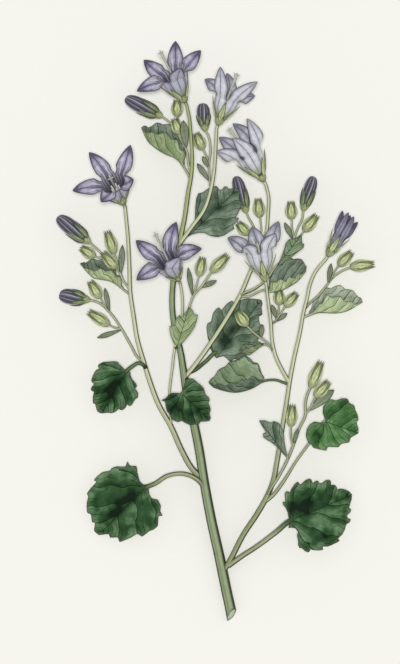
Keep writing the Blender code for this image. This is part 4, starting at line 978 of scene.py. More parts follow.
@dataclass
class Piece:
    """One visible piece: its name, its slot, and its closed patches with the finish of each."""

    name: str
    slot: str
    parts: Parts

    def build(self, node: str) -> bpy.types.Object:
        """Args:
            node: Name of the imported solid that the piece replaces.

        Returns:
            The new object.
        """
        finishes = list(dict.fromkeys(finish for _, finish in self.parts))
        counts = np.cumsum([0] + [len(patch.points) for patch, _ in self.parts])
        points = np.vstack([patch.points for patch, _ in self.parts])
        points[:, 2] = np.maximum(points[:, 2], TABLE_GAP)
        triangles = np.vstack([patch.triangles + start
                               for (patch, _), start in zip(self.parts, counts)])
        slots = np.concatenate([np.full(len(patch.triangles), finishes.index(finish))
                                for patch, finish in self.parts])
        mesh = bpy.data.meshes.new(self.name)
        mesh.from_pydata(((points - PLANT_CENTRE) * MM).tolist(), [], triangles.tolist())
        mesh.polygons.foreach_set("material_index", slots.astype(np.int32))
        mesh.polygons.foreach_set("use_smooth", np.ones(len(triangles), bool))
        names = sorted({name for patch, _ in self.parts for name in patch.values})
        for name in names:
            layer = mesh.attributes.new(name, "FLOAT", "POINT")
            held = [patch.values.get(name, np.zeros(len(patch.points))) for patch, _ in self.parts]
            layer.data.foreach_set("value", np.concatenate(held).astype(np.float32))
        for finish in finishes:
            mesh.materials.append(finish.material())
        mesh.update()
        made = bpy.data.objects.new(self.name, mesh)
        bpy.context.scene.collection.objects.link(made)
        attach(made, "root")
        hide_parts(node)
        LOG.info("%s: %d triangles", self.name, len(triangles))
        return made


# Flowers

# Flower: length of the last straight bit of its stalk, top of the ovary, where the bell begins, its
# usual height and mouth radius, its foot as a share of the mouth, and how lobes bend and twist
STALK_STRAIGHT = 1.3
OVARY_TOP = 3.5
BELL_BASE = 4.0
BELL_HEIGHT = 9.5
USUAL_MOUTH = 5.2
BELL_FOOT = 0.29
LOBE_BEND = 0.42
LOBE_TWIST = 0.7


@dataclass
class Bloom:
    """Open flower: where its stalk ends, the way it faces and where its five lobes reach."""

    base: Point
    axis: Point
    turn: float
    tips: Line
    style_tip: Point | None = None
    mouth: float = USUAL_MOUTH
    flare: float = 0.45
    inner_below: float = 0.1
    height: float = BELL_HEIGHT
    taper: float = 0.8
    finish: Finish = Finish.BELL_PETAL

    def frame(self) -> Axis:
        """Axis of the flower, from the end of its stalk."""
        return Axis(np.array(self.base), np.array(self.axis))

    def shoulder(self) -> Array:
        """Place where the stalk straightens below the flower."""
        line = self.frame()
        return line.foot - line.ahead * STALK_STRAIGHT

    def bell(self, heights: Array) -> Array:
        """Radius of the bell: m (f + (1-f)(1 - (1 - h/H)^2.2)) at a height h."""
        rise = 1 - np.clip(1 - heights / self.height, 0, 1) ** 2.2
        return self.mouth * (BELL_FOOT + (1 - BELL_FOOT) * rise)

    def lobe(self, number: int, u: Array, t: Array) -> tuple[Array, Array]:
        """One lobe: a bent line from the mouth to its tip, widened across by an arc.

        The line is the quadratic curve through start, bend and tip. Half the width is
        w (1-u)^taper (1+1.45u), a little less near the notches, set on an arc that flattens from
        36 to 10 degrees. The lobe turns about its line by LOBE_TWIST toward the side it shows.

        Args:
            number: Which lobe, 0 to 4.
            u: Shares from mouth to tip.
            t: Shares across, -1 to 1.

        Returns:
            Grid of points and the half width of each row.
        """
        line = self.frame()
        angle = np.radians(self.turn + LOBE_TURN * number)
        out = line.outward(angle)
        start = line.place(BELL_BASE + self.height, self.mouth, angle)
        tip = np.array(self.tips[number])
        length = np.linalg.norm(tip - start)
        bend = start + unit(line.ahead + out * self.flare) * LOBE_BEND * length
        u = u[:, None]
        middle = start * (1 - u) ** 2 + bend * 2 * u * (1 - u) + tip * u * u
        ahead = unit((bend - start) * (1 - u) + (tip - bend) * u)
        shown = UPWARD * (-1.0 if out[2] < self.inner_below else 1.0)
        twist = LOBE_TWIST * step_up(u, 0.0, 0.45)
        side = unit(np.cross(ahead, unit(out * (1 - twist) + shown * twist)))
        share = np.clip(u / 0.5, 0.0, 1.0)
        normal = unit(out * (1 - share) + np.cross(side, ahead) * share)
        half = self.mouth * np.sin(np.radians(LOBE_TURN / 2)) * (1 - u) ** self.taper * (1 + 1.45 * u)
        half = half * (1 - 0.16 * np.sin(np.pi * np.clip(u / 0.3, 0, 1)))
        arc = np.radians(LOBE_TURN / 2 - 26 * np.clip(u / 0.7, 0, 1))
        aside = half * np.sin(t * arc) / np.sin(arc)
        inward = half * (1 - np.cos(t * arc)) / np.sin(arc)
        inward = inward - 0.06 * half * np.exp(-(t / 0.16) ** 2) * np.minimum(4 * u, 1)
        grid = (middle[:, None] + side[:, None] * aside[:, :, None]
                - normal[:, None] * inward[:, :, None])
        return grid, half[:, 0]

    def corolla(self) -> Patch:
        """Bell and lobes as one closed sheet, thin at its margin and where it leaves the ovary.

        Returns:
            Closed patch with the values middle, rim (mm), across (-1 to 1) and reach (-1 to 1).
        """
        rows, columns = 15, 17
        t = np.linspace(-1.0, 1.0, columns)[None, :]
        heights = np.linspace(0.0, self.height, rows)
        u = evenly(27)[1:]
        line = self.frame()
        radii = self.bell(heights)
        reach = np.concatenate([heights / self.height - 1, u])[:, None]
        below = np.concatenate([self.height - heights, np.zeros(len(u))])[:, None]
        grids, tables = [], []
        for number in range(LOBES):
            angle = np.radians(self.turn + LOBE_TURN * number + LOBE_TURN / 2 * t)
            bell = line.place(BELL_BASE + heights[:, None], radii[:, None], angle)
            lobe, half = self.lobe(number, u, t)
            grids.append(np.vstack([bell, lobe]))
            wide = np.concatenate([radii * np.sin(np.radians(LOBE_TURN / 2)), half])[:, None]
            level = np.zeros((len(wide), columns))
            tables.append({"middle": wide * t, "rim": below + wide * (1 - np.abs(t)),
                           "across": level + t, "reach": level + reach,
                           "thin": level + (reach > -0.999)})
        points = np.vstack(grids).reshape(-1, 3)
        size = len(reach) * columns
        cells = grid_triangles(len(reach), columns)
        triangles = np.vstack([cells + size * number for number in range(LOBES)])
        held = {name: np.vstack([table[name] for table in tables]).reshape(-1) for name in tables[0]}
        thickness = PETAL_THICKNESS * np.clip(held["rim"] / 0.5, 0, 1) ** 0.5 * held.pop("thin")
        away = points - line.foot
        away = (away - line.ahead * (away @ line.ahead)[:, None]) * (held["reach"] < 0)[:, None]
        return Patch(points, triangles, held).faced(away).thickened(thickness)

    def calyx(self) -> Parts:
        """Ovary and five slender sepals.

        Returns:
            Each part with its finish.
        """
        line = self.frame()
        share = evenly(16)
        heights = 0.3 + share * (OVARY_TOP - 0.3)
        radii = 0.8 + 1.05 * np.sin(np.pi * np.minimum(share * 0.75, 1))
        parts = [(line.spindle(heights, radii, np.full(16, 0.05)), Finish.SEPAL)]
        shrink = max(self.mouth / USUAL_MOUTH, 0.56)
        route = ((2.2, 1.5), (3.3, 2.4), (6.2, 1 + 3.3 * shrink), (8.6, 1 + 4.6 * shrink),
                 (11.6, 1 + 6.0 * shrink))
        leaves = line.ring_of_leaves(self.turn + LOBE_TURN / 2, route, 30, 1.2, 0.3, -0.3)
        return parts + [(leaf, Finish.SEPAL) for leaf in leaves]

    def pistil(self) -> Parts:
        """Style with three curled stigma arms, and five anthers on filaments round its foot.

        Returns:
            Each part with its finish.
        """
        line = self.frame()
        share = evenly(8)
        foot = line.spindle(BELL_BASE + 0.4 + share * 0.9, 1.0 * np.cos(share * 1.2), np.zeros(8))
        parts = [(foot, Finish.SEPAL)]
        start, rise = line.place(np.array([BELL_BASE - 0.1, BELL_BASE + 5.0]), 0.0, 0.0)
        end = np.array(self.style_tip)
        route = np.vstack([start, rise, (rise + end) / 2, end])
        parts.append((stalk(route, (0.45, 0.38, 0.42, 0.6), 40), Finish.STYLE))
        ahead = unit(end - rise)
        aside = unit(np.cross(ahead, line.right))
        third = np.cross(ahead, aside)
        for angle in np.radians((0, 120, 240)):
            out = aside * np.cos(angle) + third * np.sin(angle)
            arm = np.vstack([end - ahead * 0.8, end + ahead * 0.3 + out * 0.35,
                             end + ahead * 1.0 + out * 0.75, end + ahead * 1.3 + out * 1.35])
            parts.append((stalk(arm, (0.44, 0.42, 0.36, 0.2), 14, 10), Finish.STYLE))
        for angle in np.radians(self.turn + LOBE_TURN * (np.arange(LOBES) + 0.5)):
            low, knee, high = (line.place(BELL_BASE + h, r, angle)
                               for h, r in ((0.6, 0.6), (2.6, 1.15), (7.3, 1.65)))
            parts.append((stalk(np.vstack([low, knee]), (0.26, 0.2), 8, 8), Finish.STYLE))
            parts.append((stalk(np.vstack([knee, high]), (0.26, 0.46, 0.46, 0.3), 16, 10), Finish.ANTHER))
        return parts

    def build(self, name: str) -> None:
        """Make the flower's pieces.

        Args:
            name: The flower's name.
        """
        Piece("bell_" + name, "petal", [(self.corolla(), self.finish)]).build("corolla_" + name)
        Piece("sepals_" + name, "calyx", self.calyx()).build("calyx_" + name)
        if self.style_tip is not None:
            Piece("style_" + name, "pistil", self.pistil()).build("pistil_" + name)


BLOOMS = {
    "centre": Bloom(
        (-14.4, 19.6, 18.5), (-0.35, 0.62, 0.70), turn=0,
        tips=((-14, 29, 33.5), (-5.2, 32.4, 32.5), (-15.4, 43.2, 27), (-31.6, 35.8, 27), (-31.4, 19.8, 32)),
        style_tip=(-23.4, 37.4, 35), flare=1.2, inner_below=0.5, finish=Finish.STAR_PETAL),
    "upper_right": Bloom(
        (1, 81.8, 15.2), (0.34, 0.93, 0.2), turn=36,
        tips=((17.1, 99.2, 23.5), (16.1, 93.7, 15), (4.8, 103, 11), (-4.2, 100.4, 13), (2.1, 105.3, 23.5)),
        style_tip=(8.3, 101.2, 19.3), mouth=4.7, height=7.8),
    "right_bell": Bloom(
        (19.7, 59.3, 16), (-0.47, 0.83, 0.3), turn=0,
        tips=((7, 76.6, 27.5), (12.7, 84.6, 22.5), (7, 82.6, 15), (1.6, 77.2, 14.5), (0.6, 71.5, 25)),
        style_tip=(6.4, 79.4, 22.6)),
    "left": Bloom(
        (-36.5, 50.2, 13), (-0.32, 0.63, 0.71), turn=43,
        tips=((-32.4, 60, 30.5), (-33.8, 74, 21.5), (-50.4, 71.1, 19.5), (-57, 55.6, 22.5), (-45.5, 51, 31)),
        style_tip=(-41.6, 60.3, 27), flare=1.2, inner_below=0.7, finish=Finish.STAR_PETAL),
    "inner_right": Bloom(
        (20.2, 19.3, 19), (-0.2, 0.93, 0.3), turn=36,
        tips=((24.4, 38.5, 32), (25.5, 43.5, 22.5), (14.7, 41.4, 15), (4.9, 36.8, 25.5), (11.2, 33, 34)),
        style_tip=(17.2, 33.4, 23.6)),
    "top": Bloom(
        (-11.8, 90.9, 17), (-0.38, 0.8, 0.46), turn=8,
        tips=((-13.6, 104.4, 35), (-5.6, 111.7, 26), (-15.8, 115.6, 19.5), (-28.5, 107.9, 23.5),
              (-31.3, 95.3, 26)),
        style_tip=(-21.3, 110, 28.2), flare=1.2, inner_below=0.5, finish=Finish.STAR_PETAL),
    "outer_right": Bloom(
        (45, 29.4, 13.2), (0.5, 0.82, 0.25), turn=36,
        tips=((55.4, 45.4, 24.5), (57.2, 43.2, 18.5), (54.2, 46, 12.5), (51.1, 47.8, 14.5),
              (53.4, 47, 21.5)),
        mouth=2.3, flare=0.0, height=4.5, taper=0.62, finish=Finish.DUSK_PETAL),
}


# Stem

# Centre line and radii of the main stem, from root to end
MAIN_ROUTE = (
    (7.1, -117.6, 1.95), (6.8, -115.6, 2.0), (4.4, -104, 2.3), (1.6, -90.4, 3.2), (-1.6, -76, 4.6),
    (-4.4, -60.8, 6.5), (-6.4, -48, 8.5), (-8.8, -36, 10.5), (-11.6, -24, 12), (-12.4, -18.4, 12.7),
    (-14, -8, 13.5), (-16, 0, 14), (-17.2, 10, 14), (-16.8, 19.2, 14), (-14.4, 33.6, 14.5),
    (-12, 46, 15), (-10.6, 56, 15), (-9.6, 61.6, 15), (-9.2, 69.2, 15), (-9.6, 76.8, 15.3),
    (-10.3, 84.8, 16),
)
MAIN_RADII = (2.15, 2.1, 2.0, 1.9, 1.8, 1.6, 1.2, 1.15, 1.0, 0.9, 0.7, 0.62)


@dataclass
class Branch:
    """One branch of the stem: where it runs, its radii from the root up, and its flower."""

    route: Line
    radii: Point
    bloom: str
    rings: int
    finish: Finish = Finish.BRANCH

    def build(self) -> Patch:
        """Ribbed tube along the branch as far as its flower.

        Returns:
            Closed patch of the branch.
        """
        bloom = BLOOMS[self.bloom]
        bent = smooth_line(np.vstack([self.route, bloom.shoulder()]), self.rings)
        line = np.vstack([bent, np.array(bloom.base)])
        along = chord_lengths(line)
        radii = np.interp(along, np.linspace(0, along[-1], len(self.radii)), self.radii)
        return tube(line, radii, sides=16)


@dataclass
class Stem:
    """Whole branching stem with its slanting cut end."""

    branches: tuple[Branch, ...]
    cut_point: Point = (6.8, -115.6, 0.0)
    cut_turn: float = 0.8
    cut_lean: float = 0.55
    pith: tuple[float, float] = (1.3, 1.9)

    def slanted(self, patch: Patch) -> Patch:
        """Move what lies past the cut onto the cut's plane, along the stem, and mark it as pith.

        Args:
            patch: Tube of the main stem.

        Returns:
            The tube with a flat slanting end.
        """
        centre = np.array(MAIN_ROUTE[1])
        ahead = unit(np.array(MAIN_ROUTE[0]) - centre)
        facing = unit(np.array([np.sin(self.cut_turn), -np.cos(self.cut_turn), self.cut_lean]))
        past = (patch.points - np.array(self.cut_point)) @ facing
        over = np.maximum(past, 0.0)
        patch.points = patch.points - ahead * (over / (ahead @ facing))[:, None]
        away = patch.points - centre
        radial = np.linalg.norm(away - ahead * (away @ ahead)[:, None], axis=1)
        patch.values["pith"] = (past > 0) * (1 - step_up(radial, *self.pith))
        return patch.closed()

    def build(self) -> None:
        """Make the stem's piece."""
        tubes = [branch.build() for branch in self.branches]
        tubes[0] = self.slanted(tubes[0])
        finishes = [branch.finish for branch in self.branches]
        Piece("stem_dressed", "stem", list(zip(tubes, finishes))).build("stem")


STEM = Stem((
    Branch(MAIN_ROUTE, MAIN_RADII, "top", 240, Finish.STEM),
    Branch(((-4.8, -60, 6.6), (-9.2, -55.6, 7), (-13.1, -48.8, 8), (-17.9, -38.2, 9), (-22.1, -30.9, 9.5),
            (-26.6, -19.2, 10), (-28.2, -14, 10), (-31.1, -4, 10), (-32.7, 6, 10), (-34, 15.2, 10),
            (-34.3, 24.4, 10.3), (-35, 38.2, 11)),
           (1.2, 1.05, 0.9, 0.8, 0.7), "left", 120),
    Branch(((2.9, -97.4, 2.8), (5.6, -93.2, 3.2), (11.2, -82.4, 5), (17.2, -73.2, 7), (20.4, -67.6, 8),
            (23.1, -61.2, 9), (25.1, -51.2, 10), (27.1, -38.4, 11), (29, -26.8, 12), (29.8, -21.2, 12.3),
            (31.6, -11.6, 13), (34.2, 0, 13.5), (35.3, 6.4, 13.5), (36.7, 12, 13.3), (38.1, 18.4, 13),
            (40.4, 23.6, 12.8)),
           (1.15, 1.1, 1.0, 0.85, 0.7, 0.62), "outer_right", 150),
    Branch(((29.8, -21.2, 12.3), (27.4, -17, 12.6), (24.3, -10.5, 13), (23, -5.3, 13.2),
            (22.4, 2.8, 13.8), (21.7, 8.1, 15.2)),
           (0.8, 0.7, 0.62), "inner_right", 70),
    Branch(((-12, -18.8, 12.7), (-8.6, -14.8, 13), (-1.7, -5.2, 13.3), (4.4, 4.2, 13.4), (10, 13.8, 13),
            (14.4, 24, 11), (17.2, 30.4, 10), (20, 36.8, 10.5), (21.3, 47.2, 12.5), (21.4, 53.8, 14.4)),
           (0.95, 0.9, 0.75, 0.62), "right_bell", 100),
    Branch(((-14, 34.8, 14.5), (-8.6, 42.1, 15.5), (-4.5, 47.8, 16), (-1.7, 56, 16), (-0.6, 62, 15.8),
            (0.2, 72, 15.3)),
           (0.9, 0.75, 0.62), "upper_right", 70),
    Branch(((-17.6, -37.6, 9.2), (-18.2, -24.8, 12), (-17.2, -16, 14.5), (-16, -6.8, 16.2),
            (-14.4, 0, 16.7), (-13, 7.6, 16.8), (-13.2, 14.4, 16.9)),
           (0.5,), "centre", 80),
))


# Leaves

# Open leaf: points on each side of the margin, share of curve in its straight lines, spread in points
# of the mean that makes its inner ring, and rings from margin to navel
MARGIN_POINTS = 134
MARGIN_CURVED = 0.3
MARGIN_SPREAD = 7
BLADE_RINGS = 34

# Saw teeth of folded leaves: push out and in for a depth of one, where in its span a tooth peaks,
# and what the leaf's depth is multiplied by
TOOTH_OUT = 0.6
TOOTH_IN = 0.4
TOOTH_PEAK = 0.6
TOOTH_SIZE = 2.8

# Folded leaf: opening of its halves at the margin, points along and across, side veins, and how far
# the stalk's rib lies below the keel
FOLD_OPENING = 0.8
FOLD_ROWS = 130
FOLD_COLUMNS = 17
FOLD_VEINS = 4.0
FOLD_RIB_DEPTH = 0.35


def vein_places(x: Array, y: Array, length: float) -> Array:
    """Which side vein passes a place: 0 at the blade's foot, 1 at its tip, -1 in its back lobes.

    Vein q leaves the midrib at x0 = q length (0 for q below 0) at an angle a that goes from
    176 degrees at q = -1 through 52 at 0 to 26 at 1, and runs along
    x = x0 + |y| / tan(a) + 0.3 y^2 / length. The equation is solved for q by halving.

    Args:
        x: Distances along the midrib.
        y: Distances from it.
        length: Length of the midrib.

    Returns:
        The vein coordinate q of each place.
    """
    low, high = np.full(x.shape, -1.0), np.full(x.shape, 1.4)
    for _ in range(34):
        q = (low + high) / 2
        angle = np.radians(np.where(q < 0, 52 - 124 * q, 52 - 26 * np.minimum(q, 1.0)))
        curve = length * np.maximum(q, 0) + np.abs(y) / np.tan(angle) + 0.3 * y * y / length
        past = curve < x
        low, high = np.where(past, q, low), np.where(past, high, q)
    return (low + high) / 2


def vein_values(x: Array, y: Array, length: float, veins: float) -> dict[str, Array]:
    """Values that the leaf finishes read for the veins.

    Args:
        x: Distances along the midrib.
        y: Signed distances from it.
        length: Length of the midrib.
        veins: Side veins on each side between foot and tip.

    Returns:
        phase (whole at each vein), gap (mm between veins) and across (mm from the midrib).
    """
    step = 0.05
    q, qx, qy = (vein_places(*place, length) for place in ((x, y), (x + step, y), (x, y + step)))
    slope = np.hypot(qx - q, qy - q) / step * veins
    shift = 0.22 * np.tanh(y / 2.0) + 0.13 * np.sin(0.55 * x + 1.3) * np.sin(0.5 * y)
    return {"phase": q * veins + shift + 8.0, "gap": 1 / np.maximum(slope, 0.05), "across": y}


def tooth_push(phase: Array) -> Array:
    """Profile of a saw tooth, from -TOOTH_IN in its notch to TOOTH_OUT at its point.

    It rises as (u / p)^0.8 up to its point p and falls as ((1 - u) / (1 - p))^1.2 past it.

    Args:
        phase: Place along the margin, whole in each notch.

    Returns:
        Push outward for a tooth of depth one.
    """
    u = phase - np.floor(phase)
    fall = np.clip((1 - u) / (1 - TOOTH_PEAK), 0, 1) ** 1.2
    rise = np.where(u < TOOTH_PEAK, (u / TOOTH_PEAK) ** 0.8, fall)
    return -TOOTH_IN + (TOOTH_IN + TOOTH_OUT) * rise


def edge_distance(points: Array, ring: Array) -> Array:
    """Distance from each point to a closed line of segments, in the plane.

    Args:
        points: Points to measure from.
        ring: Corners of the line.

    Returns:
        Shortest distance of each point.
    """
    ends = np.roll(ring, -1, axis=0) - ring
    away = points[:, None, :2] - ring[None, :, :2]
    size = np.maximum((ends[:, :2] ** 2).sum(1), 1e-9)
    share = np.clip((away * ends[None, :, :2]).sum(-1) / size, 0, 1)
    return np.linalg.norm(away - share[..., None] * ends[None, :, :2], axis=-1).min(1)


@dataclass(kw_only=True)
class Leaf(ABC):
    """Leaf of any kind, with the finishes of its blade and its stalk."""

    finish: Finish = Finish.BLUE_LEAF
    stalk_finish: Finish = Finish.STALK

    @abstractmethod
    def blade(self) -> Patch:
        """Closed sheet of the blade."""

    @abstractmethod
    def stem(self) -> Patch:
        """Closed tube of the stalk."""

    def build(self, name: str) -> None:
        """Make the leaf's piece."""
        parts = [(self.blade(), self.finish), (self.stem(), self.stalk_finish)]
        Piece("blade_" + name, self.finish.value.slot, parts).build("leaf_" + name)


@dataclass
class OpenLeaf(Leaf):
    """Open leaf on its stalk: toothed outline from its foot round to its foot, and heights."""

    stalk: Line
    outline: Line
    radii: Point
    tip: int
    heights: Point
    lift: float
    navel: float = 0.3
    veins: float = 3.3
    # Spots of painted shade (amount below nought) and painted light (above): share along, share across,
    # radius and amount
    painted_shading: Line = ()

    def __post_init__(self) -> None:
        """Measure the blade: its foot, the way it runs, its length and half its width."""
        points = np.array(self.outline)
        self.base = points[0]
        reach = points[self.tip] - self.base
        self.length = float(np.linalg.norm(reach))
        self.ahead = reach / self.length
        self.aside = np.array([-self.ahead[1], self.ahead[0]])
        self.half_width = float(np.abs((points - self.base) @ self.aside).max())

    def height(self, places: Array) -> Array:
        """Level through three heights along the midrib, plus lift |t|^1.6 across it.

        Args:
            places: Places in the plane.

        Returns:
            Heights of the blade's middle surface.
        """
        away = places - self.base
        s = np.clip(away @ self.ahead / self.length, -0.2, 1.05)
        t = away @ self.aside / self.half_width
        low, middle, high = self.heights
        level = low * (2 * s - 1) * (s - 1) + middle * 4 * s * (1 - s) + high * s * (2 * s - 1)
        return level + self.lift * np.abs(t) ** 1.6

    def margin(self) -> tuple[Array, Array]:
        """Toothed outline, between straight and curved, and a smooth ring averaged from it.

        Returns:
            The ring and the outline.
        """
        points = np.array(self.outline)
        around = np.vstack([points, points[:1]])
        along = chord_lengths(around)
        half = along[self.tip]
        share = np.arange(MARGIN_POINTS) / MARGIN_POINTS
        places = np.concatenate([share * half, half + share * (along[-1] - half)])
        straight = np.stack([np.interp(places, along, around[:, axis]) for axis in (0, 1)], axis=1)
        curved = hermite(points, places, closed=True)
        toothed = (1 - MARGIN_CURVED) * straight + MARGIN_CURVED * curved
        spread = np.arange(-2 * MARGIN_SPREAD, 2 * MARGIN_SPREAD + 1)
        weights = np.exp(-(spread / MARGIN_SPREAD) ** 2)
        ring = sum(weight * np.roll(toothed, shift, axis=0) for shift, weight in zip(spread, weights))
        return ring / weights.sum(), toothed

    def blade(self) -> Patch:
        """Blade as rings that shrink from the toothed margin to the navel, with sunk veins.

        Returns:
            Closed sheet with the values that the leaf finishes read.
        """
        ring, toothed = self.margin()
        navel = self.base + self.ahead * self.length * self.navel
        share = 1 - (1 - evenly(BLADE_RINGS)) ** 1.15
        sharp = step_up(share, 0.6, 1.0)[:, None, None]
        rim_line = ring * (1 - sharp) + toothed * sharp
        flat = (navel + (rim_line - navel) * share[:, None, None]).reshape(-1, 2)
        away = flat - self.base
        x, y = away @ self.ahead, away @ self.aside
        values = vein_values(x, y, self.length, self.veins)
        rim = edge_distance(flat, toothed)
        line = np.abs((values["phase"] + 0.5) % 1 - 0.5) * values["gap"]
        sunk = 0.1 * np.exp(-(line / 0.5) ** 2) + 0.2 * np.exp(-(y / 0.7) ** 2)
        wave = 0.12 * np.sin(x * 0.7 + 2 * np.sin(y * 0.4)) * step_up(rim, 0.0, 4.0)
        level = self.height(flat) - sunk * step_up(rim, 0.2, 2.0) + wave
        # Tone: painted shade and painted light from the leaf's spots
        tone = np.zeros(len(flat))
        for along, across, radius, amount in self.painted_shading:
            spot = np.hypot(x / self.length - along, y / self.half_width - across)
            tone += amount * np.exp(-(spot / radius) ** 2)
        values |= {"rim": rim, "tone": tone}
        grid = grid_triangles(len(share), len(ring), wrap=True)
        patch = Patch(np.column_stack([flat, level]), grid, values).faced(UPWARD)
        return patch.thickened(BLADE_THICKNESS * np.clip(rim / THIN_RIM, 0, 1) ** 0.5)

    def stem(self) -> Patch:
        """Stalk that dips under the blade's foot and runs on as a rib beneath it.

        Returns:
            Closed patch of the stalk.
        """
        shares = np.linspace(0.1, 0.8, 8)
        under = self.base + self.ahead * self.length * shares[:, None]
        depth = 0.5 + self.radii[-1] * (1 - step_up(shares, 0.0, 0.5))
        rib = np.column_stack([under, self.height(under) - depth])
        route = np.vstack([self.stalk, rib])
        free = chord_lengths(np.array(self.stalk))[-1] / chord_lengths(route)[-1]
        places = evenly(14)
        radii = np.interp(places, (0, free / 2, free, 0.5 + 0.5 * free, 1),
                          (self.radii[0], self.radii[1] * 0.9, self.radii[1], 0.3, 0.2))
        return stalk(route, radii, 110)


